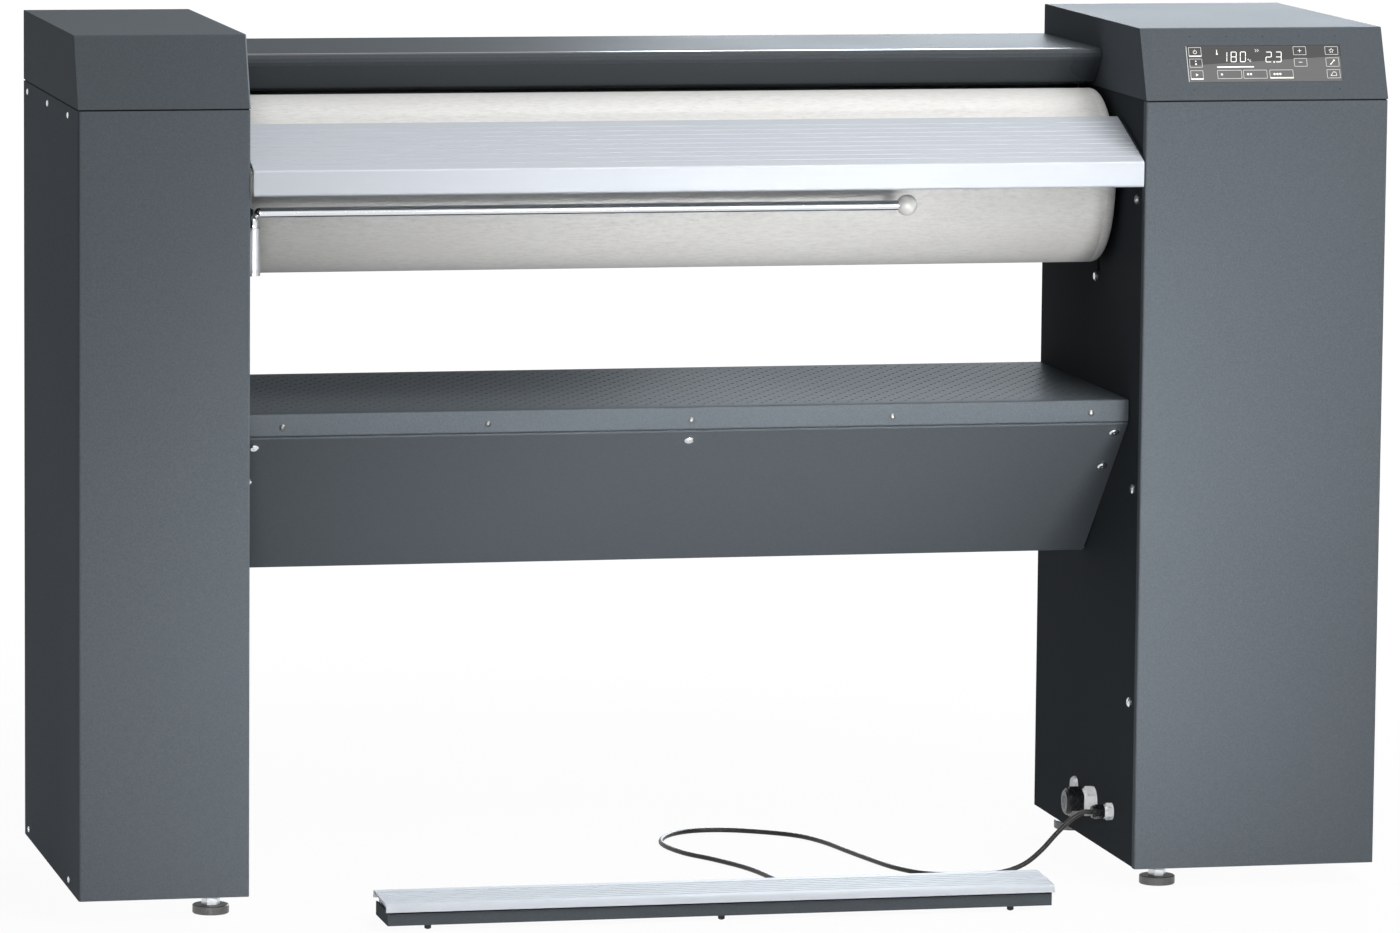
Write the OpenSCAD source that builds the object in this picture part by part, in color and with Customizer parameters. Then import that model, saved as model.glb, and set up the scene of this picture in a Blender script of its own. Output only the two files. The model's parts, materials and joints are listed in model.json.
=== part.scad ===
// Flatwork ironer with a padded roller, a curved heated plate and a foot bar. All sizes are in mm.
// Pieces are laid out from the outer side of the left column (X), the front plane of the columns (Y)
// and the floor (Z). The whole is then moved so that the middle of the footprint is the origin.

/* [Columns] */
// Width of the left column
left_w = 200; // [190:5:230]
// Width of the right column
right_w = 298; // [290:2:340]
// Clear width between the columns
gap_w = 1070; // [1000:10:1300]
// Depth of the columns from front to back
depth = 468; // [464:2:520]
// Height of the casings' lower edge over the floor
casing_z = 26; // [25:1:32]
// Height of the seam between casing and cap
seam_z = 945; // [944:1:950]
// Height of the caps over the seam
cap_h = 85; // [75:1:115]
// How far the cap's sloped front runs back
cap_run = 35; // [25:1:45]
// Thickness of the seal between casing and cap
seal_t = 2; // [1.5:0.5:3]
// Width of the seal
seal_w = 8; // [6:1:9]
// Sheet thickness of casings, caps and covers
sheet = 1.5; // [1:0.25:2]
// Plate thickness of the side frames and base plates
frame_t = 3; // [2.5:0.5:4]
// Outer radius of the folded edges
bend_r = 3; // [2.5:0.5:4]
// Width of the side frames' flanges
flange_w = 22; // [18:1:24]
// Width of the casings' folded rims
rim_w = 12; // [10:1:14]
// Depth of the recess that holds each rear cover
rear_recess = 5; // [4:1:8]
// Clearance around the rear covers
cover_clear = 0.5; // [0.3:0.1:1]
// Number of vent slots in the right rear cover
vent_count = 9; // [4:1:12]
// Length of a vent slot
vent_l = 90; // [60:5:120]
// Height of a vent slot
vent_h = 4.5; // [3:0.5:6]
// Pitch of the vent slots
vent_pitch = 14; // [10:1:18]
// Height of the lowest vent slot
vent_z = 640; // [600:10:700]

/* [Roller] */
// Diameter over the cloth
roller_d = 210; // [204:1:214]
// Distance of the axis behind the front plane
roller_y = 207; // [205:1:212]
// Height of the axis
roller_z = 841; // [838:1:843]
// Gap between a roller end and the column
roller_gap = 6; // [5:1:10]
// Outer diameter of the steel tube
tube_d = 178; // [170:1:180]
// Wall of the steel tube
tube_t = 4; // [3:0.5:6]
// Thickness of the springy padding
padding_t = 13; // [10:0.5:13.5]
// How far the cloth is drawn in over each end
hem_l = 14; // [8:1:20]
// Thickness of the drawn-in hem
hem_t = 2; // [1:0.5:3]
// Thickness of the end discs
disc_t = 6; // [4:1:10]
// How far the end discs sit inside the tube
disc_inset = 14; // [8:1:24]
// Diameter of the journals
journal_d = 35; // [30:1:38]
// Radial running clearance of shafts in bores
run_clear = 0.05; // [0.03:0.01:0.08]
// Width of a bearing's square flange
bearing_w = 96; // [86:2:104]
// Thickness of the bearing's flange
bearing_t = 10; // [8:1:12]
// Diameter of the bearing's hub
hub_d = 60; // [54:1:64]
// Length of the hub beyond the flange
hub_l = 12; // [8:1:14]

/* [Roller drive] */
// Diameter of the roller's pulley over the teeth
big_pulley_d = 150; // [130:2:156]
// Diameter of the motor's pulley over the teeth
small_pulley_d = 50; // [44:2:56]
// Teeth of the roller's pulley
big_pulley_teeth = 60; // [45:3:66]
// Teeth of the motor's pulley
small_pulley_teeth = 20; // [15:1:22]
// Toothed width of the pulleys
pulley_w = 20; // [18:1:22]
// Depth of the pulleys' teeth
tooth_h = 2.5; // [2:0.25:3]
// Thickness of the pulleys' flanges
rim_t = 2; // [1.5:0.5:2.5]
// How far the flanges stand over the teeth
rim_h = 4; // [3.8:0.2:5]
// Width of the belt
belt_w = 17; // [12:1:17]
// Thickness of the belt
belt_t = 3; // [2:0.5:3]
// Clearance under the belt
belt_clear = 0.3; // [0.2:0.05:0.4]
// Distance of the motor axis behind the front plane
motor_y = 150; // [145:1:160]
// Height of the motor axis
motor_z = 560; // [540:5:590]
// Width of the square gearbox
gearbox_w = 116; // [100:2:120]
// Length of the gearbox
gearbox_l = 60; // [50:2:70]
// Diameter of the motor
motor_d = 104; // [90:2:110]
// Length of the motor
motor_l = 118; // [100:2:125]
// Diameter of the gearbox's output shaft
shaft_d = 19; // [16:1:22]
// How deep the output shafts sit in their gearboxes
shaft_in = 30; // [20:2:40]
// Width of the motor's square plate
motor_plate_w = 156; // [150:2:164]
// Thickness of the motor plates
motor_plate_t = 4; // [3:0.5:5]
// Diameter of the stand-off posts
post_d = 12; // [10:1:13]

/* [Heated plate] */
// Thickness of the curved plate
plate_t = 6; // [5:0.5:8]
// Gap between the pressed plate and the cloth
plate_gap = 0.6; // [0.5:0.1:1]
// Angle of the plate's front edge above the level line through the axis
plate_top_a = 68; // [64:1:68]
// Angle of the plate's lower edge below that line
plate_low_a = 30; // [20:1:32]
// How far the heater swings back from pressed to lifted
lift_a = 8; // [6:0.5:8]
// Distance of the heater's pivot behind the front plane
pivot_y = 345; // [342:1:352]
// Height of the heater's pivot
pivot_z = 745; // [742:1:752]
// Diameter of the pivot shafts
pivot_d = 20; // [16:1:22]
// Outer diameter of the pivot bushes
bush_d = 30; // [28:1:32]
// Diameter of the bushes' flange
bush_flange_d = 38; // [36:1:42]
// Thickness of the bushes' flange
bush_flange_t = 3; // [2:0.5:3.5]
// Gap between the heater's ends and the columns
heater_gap = 4; // [3.5:0.5:6]
// Thickness of the heater's end plates
end_plate_t = 3; // [2:0.5:4]
// Radius of the boss round each pivot shaft
boss_r = 16; // [14:1:18]
// Diameter of the tubular heating elements
element_d = 8.5; // [6.5:0.5:9]
// Number of heating elements
element_count = 5; // [3:1:7]
// Thickness of the insulation over the elements
insulation_t = 24; // [15:1:25]
// Thickness of the heater's back shell
shell_t = 2; // [1.5:0.5:3]

/* [Press drive] */
// Size of the gear teeth (pitch diameter over number of teeth)
gear_module = 2.5; // [2.4:0.05:2.6]
// Teeth on the sector's full circle
sector_teeth = 80; // [76:4:84]
// Teeth cut on the sector
sector_cut_teeth = 11; // [9:2:13]
// Teeth on the pinion
pinion_teeth = 20; // [18:1:22]
// Thickness of the sector and the pinion
gear_t = 10; // [8:1:12]
// Play between meshing teeth
backlash = 0.3; // [0.2:0.05:0.4]
// Gap between the side frame and the sector
sector_gap = 8; // [6:1:10]
// Radius of the sector's hub
sector_hub_r = 22; // [18:1:26]
// Diameter of the pinion's shaft
pinion_shaft_d = 14; // [10:1:16]
// Width of the press gearbox
press_box_w = 80; // [70:2:84]
// Length of the press gearbox
press_box_l = 50; // [40:2:60]
// Diameter of the press motor
press_motor_d = 66; // [56:2:70]
// Length of the press motor
press_motor_l = 84; // [70:2:100]
// Width of the press motor's plate
press_plate_w = 104; // [100:2:110]

/* [Heater cover] */
// Height of the cover's flat top over the seam
hood_rise = 49; // [48:1:55]
// Height of the rear wall's lower edge
hood_low_z = 748; // [735:1:760]
// Distance of the rear wall from the columns' back plane
hood_back_gap = 2; // [1:0.5:4]
// Width of the folded rim at the rear wall's lower edge
hood_rim_w = 14; // [8:1:16]
// Front edge of the cover, behind the front plane
hood_front_y = 216; // [214:1:218]
// Gap between the cover and the finger guard
guard_gap = 1; // [0.8:0.1:1.5]
// Thickness of the finger guard
guard_t = 2; // [1.5:0.25:2]
// Radius of the guard's rounded nose
guard_nose_r = 8; // [6:0.5:9]
// Where the guard's top and slanted faces would meet
guard_tip_y = 186.3; // [184:0.5:188]
// Height of the guard's lower edge over the roller's axis
guard_lip_h = 106.5; // [106:0.5:110]
// Rear end of the guard's lower lip
guard_lip_y = 244; // [240:1:245]
// Where the guard's slant turns into its lip, behind the front plane
guard_turn_y = 226.5; // [224:0.5:229]
// Height of that turn over the lip's end
guard_turn_h = 5; // [3:0.5:7]
// Diameter of the guard's hinge pins
guard_pin_d = 6; // [5:0.5:6.5]
// Depth of the guard's hinge axis below the cover's top
guard_axis_h = 9; // [8.5:0.5:10]
// Distance of the hinge axis behind the cover's front edge
guard_axis_y = 1; // [0.5:0.5:3]
// Radius of the eyes round the hinge pins
guard_eye_r = 5.5; // [5:0.25:6]
// Thickness of the guard's eyes and of the lugs that hold the pins
guard_eye_t = 4; // [3:0.5:5]

/* [Feed table] */
// Front edge of the table, before the front plane
table_front = 5; // [3:1:12]
// Height of the front edge
table_front_z = 875; // [873:1:880]
// Rear edge of the table, behind the front plane
table_back_y = 118; // [110:1:121]
// Height of the rear edge
table_back_z = 920; // [912:1:922]
// Height of the front lip
table_lip_h = 30; // [24:1:34]
// Wall of the extrusion
table_t = 2.5; // [2:0.25:3]
// Pitch of the ribs on the table
table_rib_pitch = 12; // [10:0.5:14]
// Number of ribs on the table
table_rib_count = 9; // [7:1:9]
// Width of a rib
table_rib_w = 2.4; // [1.5:0.1:3]
// Height of a rib
table_rib_h = 0.5; // [0.3:0.1:1.2]
// Radius of the table's edges
table_edge_r = 3; // [2.75:0.25:4]
// Clearance at each end of the table
table_clear = 3; // [2.5:0.1:4]
// Height of the table's wall brackets
table_bracket_h = 20; // [16:1:24]
// Width of the brackets' shelf under the table
table_bracket_w = 24; // [18:1:30]

/* [Linen shelf and beam] */
// Height of the shelf's top
shelf_z = 585.5; // [570:0.5:600]
// Front edge of the shelf, behind the front plane
shelf_front_y = 55; // [50:1:60]
// Rear edge of the shelf, before the columns' back plane
shelf_back_gap = 7; // [5:1:12]
// Height of the shelf's front apron
apron_h = 27; // [22:1:32]
// Height of the shelf's rear fold
shelf_fold_h = 25; // [18:1:30]
// Width of the shelf's inner folds
shelf_rim_w = 16; // [12:1:20]
// Clearance at each end of the shelf
shelf_clear = 1; // [0.5:0.1:2]
// Lower edge of the slanted panel, behind the front plane
panel_low_y = 249; // [230:1:262]
// Height of that lower edge
panel_low_z = 378; // [370:1:395]
// Width of the panel's lower fold
panel_rim_w = 18; // [14:1:24]
// Side of the square cross rails
rail_w = 50; // [40:2:56]
// Wall of the cross rails
rail_t = 3; // [2:0.5:4]
// Distance of the rear rail from the shelf's rear edge
rear_rail_gap = 24; // [20:1:40]
// Diameter of the dark dome screws' heads
dome_d = 7.5; // [5.5:0.5:8]
// Height of the dome screws' heads
dome_h = 2.4; // [1.5:0.1:2.6]
// Diameter of the bright pan screws' heads
pan_d = 11.5; // [8:0.5:12]
// Height of the pan screws' heads
pan_h = 3.6; // [2.5:0.1:4]
// Width across the flats of the screws' sockets
socket_af = 3; // [2.5:0.5:4]

/* [Swivel rod] */
// Diameter of the rod
rod_d = 12; // [10:0.5:12]
// Distance of the rod's leg from the left column
rod_wall = 11; // [10.5:0.5:14]
// Distance of the leg and the rod behind the front plane
rod_y = 50; // [45:1:54]
// Height of the rod
rod_z = 822; // [816:1:826]
// Reach of the rod from its leg to the ball's middle
rod_reach = 781; // [700:1:860]
// Bend radius of the leg's top
rod_bend_r = 14; // [12:1:16]
// Length of the straight tail behind the bend
rod_tail_l = 12; // [6:1:14]
// Diameter of the ball
ball_d = 25; // [22:1:30]
// How deep the rod sits in the ball
ball_in = 14; // [8:1:18]
// Diameter of the socket
socket_d = 17; // [16:0.5:18]
// Height of the socket's lower end
socket_low_z = 748.5; // [740:0.5:756]
// Length of the socket
socket_l = 55.5; // [44:0.5:60]
// Thickness of the socket's closed end
socket_end_t = 4; // [3:0.5:6]
// Width of the socket's wall plate
socket_plate_w = 34; // [28:1:40]

/* [Touch panel] */
// Width of the glass
glass_w = 190; // [170:2:210]
// Height of the glass along the slope
glass_h = 45; // [38:1:50]
// Clearance round the glass
glass_clear = 0.3; // [0.2:0.05:0.5]
// Width of the ledge behind the sheet
ledge_w = 4; // [3:0.5:5]
// Thickness of the ledge
ledge_t = 2; // [1.5:0.5:3]
// Thickness of the control board
board_t = 1.6; // [1.2:0.1:2]
// Distance of the control board behind the glass
board_gap = 8; // [6:1:12]

/* [Levelling feet] */
// Diameter of a pad
pad_d = 43; // [36:1:46]
// Height of a pad
pad_h = 10.3; // [8:0.1:10.5]
// Bevel round the pad's edges
pad_edge = 1; // [0.5:0.25:2]
// Width across flats of the hexagon over the pad
foot_hex_af = 19; // [16:0.5:20]
// Height of that hexagon
foot_hex_h = 7.5; // [5:0.5:7.5]
// Diameter of a stem
stem_d = 12; // [10:1:12]
// Length of a stem over its pad
stem_l = 72; // [54:2:90]
// Width across flats of the lock nuts
nut_af = 19; // [17:1:20]
// Height of the lock nuts
nut_h = 9; // [7:1:9]
// How far a foot can be screwed out
foot_travel = 15; // [10:1:20]
// Distance of the left feet from the left column's inner side
foot_in_left = 38; // [35:1:50]
// Distance of the right feet from the right column's inner side
foot_in_right = 42; // [38:1:60]
// Distance of the front feet behind the front plane
foot_front_y = 48; // [40:1:60]
// Distance of the rear feet from the columns' back plane
foot_back_gap = 28; // [26:1:40]

/* [Foot bar] */
// Length of the foot bar
bar_l = 800; // [700:10:900]
// Distance of its left end from the outer side of the left column
bar_x = 342; // [300:1:360]
// How far the bar stands out before the front plane
bar_out = 110; // [100:1:130]
// Depth of the bar
bar_depth = 84; // [78:1:90]
// Height of the studs under the bar
stud_h = 6; // [5:0.5:8]
// Diameter of the studs
stud_d = 8; // [7:0.5:12]
// Height of the cover's front edge
bar_front_z = 30.7; // [30:0.1:33]
// Height of the cover's rear edge
bar_back_z = 35; // [34:0.5:38]
// Wall of the cover
bar_t = 2.5; // [2:0.25:2.75]
// Height of the cover's front lip
bar_lip_h = 8.5; // [7:0.5:10]
// Height of the cover's rear lip
bar_back_lip_h = 9; // [7:0.5:10]
// Number of ribs on the cover
bar_rib_count = 7; // [5:1:8]
// Pitch of the ribs on the cover
bar_rib_pitch = 9; // [8:0.5:9.5]
// Width of a rib on the cover
bar_rib_w = 3.2; // [2:0.2:4]
// Height of a rib on the cover
bar_rib_h = 0.8; // [0.5:0.1:1.2]
// Sheet thickness of the base tray
tray_t = 2; // [1.5:0.25:2.25]
// Gap between the cover's lips and the tray
tray_gap = 1; // [0.8:0.1:1.5]
// Height of the tray's walls
tray_h = 16; // [14:0.5:16.5]
// How far the tray's ends sit inside the cover's ends
tray_in = 2.5; // [2:0.5:8]
// Diameter of the bar's hinge pins
bar_pin_d = 5; // [4:0.5:5]
// Distance of the hinge axis from the tray's rear wall
bar_axis_in = 8; // [7:0.5:10]
// Height of the hinge axis over the tray's floor
bar_axis_h = 12; // [11:0.5:13]
// Radius of the eyes round the hinge pins
bar_eye_r = 5; // [4.5:0.25:5.5]
// Thickness of the eyes
bar_eye_t = 6; // [4:0.5:8]
// Diameter of the rubber buffers that lift the cover
buffer_d = 12; // [10:0.5:14]
// Number of folds in a buffer
buffer_folds = 4; // [3:1:5]
// Distance of the buffers behind the tray's front wall
spring_in = 14; // [12:1:20]

/* [Glands] */
// Height of the mains gland's axis
mains_z = 77; // [72:1:84]
// Distance of the mains gland's axis behind the front plane
mains_y = 192; // [180:1:205]
// Width across flats of the mains gland's hexagon
mains_af = 32; // [28:1:34]
// Length of the mains gland's hexagon
mains_base_l = 16; // [12:1:18]
// Width across flats of the mains gland's cap
mains_cap_d = 32; // [29:1:34]
// Length of the mains gland's cap
mains_cap_l = 21; // [16:1:28]
// Diameter of the mains gland's thread
mains_thread_d = 25; // [20:1:26]
// Outer diameter of the mains gland's soft insert
mains_insert_d = 19; // [18:1:21]
// Bore of that insert, for the cable
mains_bore_d = 14; // [11:1:16]
// Height of the foot cable's gland axis
pedal_z = 78; // [74:1:84]
// Distance of that axis behind the front plane
pedal_y = 109; // [104:1:114]
// Width across flats of the foot cable's gland
pedal_af = 18.5; // [17.5:0.5:22]
// Length of that gland's hexagon
pedal_base_l = 10.5; // [8:0.5:13]
// Width across flats of that gland's cap
pedal_cap_d = 15.5; // [14:0.5:18]
// Length of that gland's cap
pedal_cap_l = 15; // [12:0.5:18]
// Diameter of that gland's thread
pedal_thread_d = 16; // [12:1:18]
// Distance of the blanking plug behind the front plane
plug_y = 274; // [255:1:290]
// Height of the blanking plug's axis
plug_z = 82; // [76:1:95]
// Diameter of the blanking plug
plug_d = 24; // [18:1:26]
// Length of the blanking plug
plug_l = 5; // [3:0.5:10]
// Length of the glands' threads behind the side frame's lock nut
thread_l = 12; // [10:1:16]

/* [Hidden] */
$fn = 48;

// Segments in a rounded corner
arc_steps = 4;
// Overrun of a cut past the face it opens
over = 1;
// Rest clearance between pieces of different bodies
rest_clear = 0.3;

total_w = left_w + gap_w + right_w;
right_x = left_w + gap_w;
origin_y = (depth - bar_out) / 2;
top_z = seam_z + cap_h;
hood_top_z = seam_z + hood_rise;
wall_l = left_w - sheet;
wall_r = right_x + sheet;
frame_gap = wall_r - wall_l;
base_z = casing_z + sheet;
base_top = base_z + frame_t;
rear_seat = depth - rear_recess - sheet;
cap_z = seam_z + seal_t;
slope_a = atan2(top_z - cap_z, cap_run);
slope_l = norm([top_z - cap_z, cap_run]);

roller_x = left_w + roller_gap;
roller_l = gap_w - 2 * roller_gap;
cloth_r = roller_d / 2;
padding_r = tube_d / 2 + padding_t;

// Places along X inside the right column
right_in = wall_r + frame_t;
pulley_x = right_in + bearing_t + hub_l + 4 * rim_t;
pulley_end = pulley_x + pulley_w + 2 * rim_t;
motor_plate_x = pulley_end + 3 * rim_t;
post_off = motor_plate_w / 2 - post_d;
sector_x = right_in + sector_gap;
press_plate_x = sector_x + gear_t + sector_gap;
press_post_off = press_plate_w / 2 - post_d;

plate_r = cloth_r + plate_gap;
element_r = plate_r + plate_t + element_d / 2;
insulation_r = element_r + element_d / 2 + rest_clear;
shell_r = insulation_r + insulation_t;
heater_x = left_w + heater_gap;
heater_l = gap_w - 2 * heater_gap;

sector_r = gear_module * sector_teeth / 2;
pinion_r = gear_module * pinion_teeth / 2;
pinion_z = pivot_z - sector_r - pinion_r;

guard_axis = [hood_front_y + guard_axis_y, hood_top_z - guard_axis_h];
guard_lip_z = roller_z + guard_lip_h;
hood_back_y = depth - hood_back_gap;

shelf_back_y = depth - shelf_back_gap;
apron_z = shelf_z - apron_h;
table_run = table_back_y + table_front;
table_rise = table_back_z - table_front_z;
table_a = atan2(table_rise, table_run);

leg_x = left_w + rod_wall;
ball_x = leg_x + rod_reach;

foot_xs = [left_w - foot_in_left, right_x + foot_in_right];
foot_ys = [foot_front_y, depth - foot_back_gap];

bar_front_y = -bar_out;
bar_back_y = bar_front_y + bar_depth;
tray_front_y = bar_front_y + bar_t + tray_gap;
tray_back_y = bar_back_y - bar_t - tray_gap;
tray_x = bar_x + tray_in;
tray_l = bar_l - 2 * tray_in;
tray_top = stud_h + tray_h;
bar_axis = [tray_back_y - bar_axis_in, stud_h + bar_axis_h];
bar_slope = atan2(bar_back_z - bar_front_z, bar_depth);
spring_y = tray_front_y + spring_in;
spring_z = stud_h + tray_t;
buffer_l = cover_z(spring_y - buffer_d / 2) - bar_t - rest_clear - spring_z;

// Height of the foot bar's cover at the distance y
function cover_z(y) = bar_front_z + (y - bar_front_y) * tan(bar_slope);

// Foot cable: radius, sides of its tube, steps between two points
cable_r = 3;
cable_sides = 8;
cable_steps = 3;
// Route of the foot cable about the origin, from its gland to the foot bar
cable_route = [[462, -70, 78], [458, -70, 78], [453, -70, 78], [438, -69, 70], [420, -66, 52], [402, -62, 31],
    [382, -57, 14], [356, -52, 4.5], [322, -51, 3.2], [286, -50, 3.2], [258, -32, 3.2],
    [236, 10, 3.2], [221, 66, 3.2], [207, 130, 3.2], [193, 196, 3.2], [172, 244, 3.2],
    [134, 278, 3.2], [88, 300, 3.2], [44, 297, 3.2], [10, 266, 3.2], [-6, 214, 3.2],
    [6, 150, 3.2], [34, 96, 3.2], [60, 32, 3.2], [74, -40, 3.2], [83, -130, 3.2],
    [86, -175, 7], [86, -196, 14], [86, -201.5, 14], [86, -207, 14]];

// Where the foot cable enters the bar, about the machine's corner
cable_in_x = cable_route[len(cable_route) - 1][0] + total_w / 2;
cable_in_z = cable_route[len(cable_route) - 1][2];
cable_in_y = cable_route[len(cable_route) - 1][1] + origin_y;

function unit(v) = v / norm(v);
function turn(u, v) = u[0] * v[1] - u[1] * v[0];

// Points of an outline's corner b between a and c, rounded to radius r
function corner_arc(a, b, c, r) =
    let(u = unit(a - b), v = unit(c - b), half = acos(u * v) / 2,
        mid = b + unit(u + v) * r / sin(half),
        from = b + u * r / tan(half) - mid, to = b + v * r / tan(half) - mid,
        a0 = atan2(from[1], from[0]), sweep = sign(turn(from, to)) * (180 - 2 * half))
    [for (k = [0:arc_steps]) mid + r * [cos(a0 + sweep * k / arc_steps), sin(a0 + sweep * k / arc_steps)]];

// An open path with its inner corners rounded, each to its own radius
function rounded_path(p, radii) = [for (i = [0:len(p) - 1])
    each (i == 0 || i == len(p) - 1 ? [p[i]] : corner_arc(p[i - 1], p[i], p[i + 1], radii[i]))];

// The path moved sideways by t, to its left where t is positive
function side_path(p, t) = [for (i = [0:len(p) - 1])
    let(d0 = unit(p[max(i, 1)] - p[max(i, 1) - 1]), d1 = unit(p[min(i + 1, len(p) - 1)] - p[min(i, len(p) - 2)]),
        n0 = [-d0[1], d0[0]], n1 = [-d1[1], d1[0]], m = unit(n0 + n1))
    p[i] + m * t / (m * n0)];

// Turn of the path at point i
function turn_at(p, i) = i == 0 || i == len(p) - 1 ? 0 : turn(p[i] - p[i - 1], p[i + 1] - p[i]);

// Outline of a folded sheet along path p, t thick to the path's left, with outer bends of radius r
function folded(p, t, r) =
    let(near = [for (i = [0:len(p) - 1]) turn_at(p, i) * t > 0 ? r : r - abs(t)],
        far = [for (i = [0:len(p) - 1]) turn_at(p, i) * t > 0 ? r - abs(t) : r],
        back = rounded_path(side_path(p, t), far))
    concat(rounded_path(p, near), [for (i = [len(back) - 1:-1:0]) back[i]]);

// Moves everything from the machine's corner to the origin
module place() {
    translate([-total_w / 2, -origin_y, 0]) children();
}

// Mirrors a piece of the left column onto the right one
module on_right() {
    translate([total_w, 0, 0]) mirror([1, 0, 0]) children();
}

// Extrudes an outline in Y and Z along X
module along_x(x, l) {
    translate([x, 0, 0]) rotate([90, 0, 90]) linear_extrude(l) children();
}

// Round bar along X
module bar_x_at(x, y, z, l, d) {
    translate([x, y, z]) rotate([0, 90, 0]) cylinder(h = l, d = d);
}

// Block given by its low corner and its size
module block(at, size) {
    translate(at) cube(size);
}

// Flat frame of width w inside a rectangle
module flat_ring(at, size, w) {
    difference() {
        block(at, size);
        block(at + [w, w, -over], size + [-2 * w, -2 * w, 2 * over]);
    }
}

// Dome screw head with its hexagon socket, standing up from the origin
module dome_head() {
    difference() {
        intersection() {
            cylinder(h = dome_h, d = dome_d);
            translate([0, 0, dome_h - dome_d * 0.75]) sphere(d = dome_d * 1.5);
        }
        translate([0, 0, dome_h / 2]) cylinder(h = dome_h, d = socket_af, $fn = 6);
    }
}

// Pan screw head with its hexagon socket
module pan_head() {
    difference() {
        union() {
            cylinder(h = pan_h * 0.6, d = pan_d);
            translate([0, 0, pan_h * 0.6]) cylinder(h = pan_h * 0.4, d1 = pan_d, d2 = pan_d * 0.7);
        }
        translate([0, 0, pan_h / 2]) cylinder(h = pan_h, d = socket_af, $fn = 6);
    }
}

/* Columns */

module side_frame(w) {
    x = w - sheet - frame_t;
    fx = x - flange_w;
    difference() {
        union() {
            block([x, bend_r, casing_z], [frame_t, depth - bend_r, seam_z - casing_z]);
            block([fx, sheet, base_top], [w - bend_r - fx, frame_t, seam_z - base_top]);
            block([fx, rear_seat - frame_t, base_top], [flange_w, frame_t, seam_z - base_top]);
            block([fx, sheet, seam_z - frame_t], [flange_w, rear_seat - sheet, frame_t]);
            block([fx, sheet, base_top], [flange_w, rear_seat - sheet, frame_t]);
        }
        bar_x_at(x - over, roller_y, roller_z, frame_t + 2 * over, hub_d);
        bar_x_at(x - over, pivot_y, pivot_z, frame_t + 2 * over, bush_d);
        block([x - over, roller_y - slot_w / 2, slot_z], [frame_t + 2 * over, slot_w, roller_z - slot_z]);
    }
}

// Assembly slot below the bearing
slot_w = 12;
slot_z = roller_z - cloth_r - slot_w;

module casing(w) {
    in_x = w - sheet - frame_t - flange_w;
    translate([0, 0, casing_z]) linear_extrude(seam_z - casing_z)
        polygon(folded([[w, rim_w], [w, 0], [0, 0], [0, depth]], -sheet, bend_r));
    block([sheet, rear_seat - sheet, casing_z], [rim_w, sheet, seam_z - casing_z]);
    for (z = [casing_z, seam_z - sheet]) {
        block([sheet, sheet, z], [in_x - sheet, rim_w, sheet]);
        block([sheet, sheet, z], [rim_w, rear_seat - 2 * sheet, sheet]);
    }
}

module base_plate(w, foot_x) {
    difference() {
        block([sheet, sheet, base_z], [w - 2 * sheet - frame_t, rear_seat - 2 * sheet, frame_t]);
        for (y = foot_ys)
            translate([foot_x, y, base_z - over]) cylinder(h = frame_t + 2 * over, r = stem_d / 2 + run_clear);
    }
}

module rear_cover(w) {
    cover_w = w - 2 * sheet - frame_t - 2 * cover_clear;
    cover_z = casing_z + cover_clear;
    block([sheet + cover_clear, rear_seat, cover_z], [cover_w, sheet, seam_z - cover_z - cover_clear]);
}

// Outer path of the cap in Y and Z
cap_path = [[0, cap_z], [cap_run, top_z], [depth, top_z], [depth, cap_z]];

module cap(w) {
    along_x(0, w) polygon(folded(cap_path, -sheet, bend_r));
    for (x = [0, w - sheet])
        along_x(x, sheet) polygon(rounded_path(cap_path, [0, bend_r, bend_r, 0]));
    flat_ring([sheet, sheet, cap_z], [w - 2 * sheet, depth - 2 * sheet, sheet], rim_w);
}

module left_side_frame() {
    color("#3a4145") place() side_frame(left_w);
}

module right_side_frame() {
    color("#3a4145") place() difference() {
        on_right() side_frame(right_w);
        gland_hole(mains_y, mains_z, mains_thread_d);
        gland_hole(pedal_y, pedal_z, pedal_thread_d);
        gland_hole(plug_y, plug_z, pedal_thread_d);
    }
}

module gland_hole(y, z, d) {
    bar_x_at(wall_r - over, y, z, frame_t + 2 * over, d);
}

module left_casing() {
    color("#6a7175") place() casing(left_w);
}

module right_casing() {
    color("#6a7175") place() on_right() casing(right_w);
}

module left_base_plate() {
    color("#4a5054") place() base_plate(left_w, foot_xs[0]);
}

module right_base_plate() {
    color("#4a5054") place() on_right() base_plate(right_w, total_w - foot_xs[1]);
}

module left_rear_cover() {
    color("#5a6165") place() rear_cover(left_w);
}

module right_rear_cover() {
    color("#5a6165") place() difference() {
        on_right() rear_cover(right_w);
        for (k = [0:vent_count - 1])
            block([right_x + (right_w - vent_l) / 2, rear_seat - over, vent_z + k * vent_pitch],
                [vent_l, sheet + 2 * over, vent_h]);
    }
}

module left_cap() {
    color("#70777b") place() cap(left_w);
}

// Puts a piece on the right cap's slope: X across, Y up the slope, Z out of it
module on_slope() {
    translate([right_x + right_w / 2, cap_run / 2, (cap_z + top_z) / 2]) rotate([slope_a, 0, 0]) children();
}

module centred_block(w, h, z, t) {
    translate([-w / 2, -h / 2, z]) cube([w, h, t]);
}

module right_cap() {
    color("#70777b") place() difference() {
        on_right() cap(right_w);
        on_slope() centred_block(glass_w + 2 * glass_clear, glass_h + 2 * glass_clear, -2 * sheet, 3 * sheet);
    }
}

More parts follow.
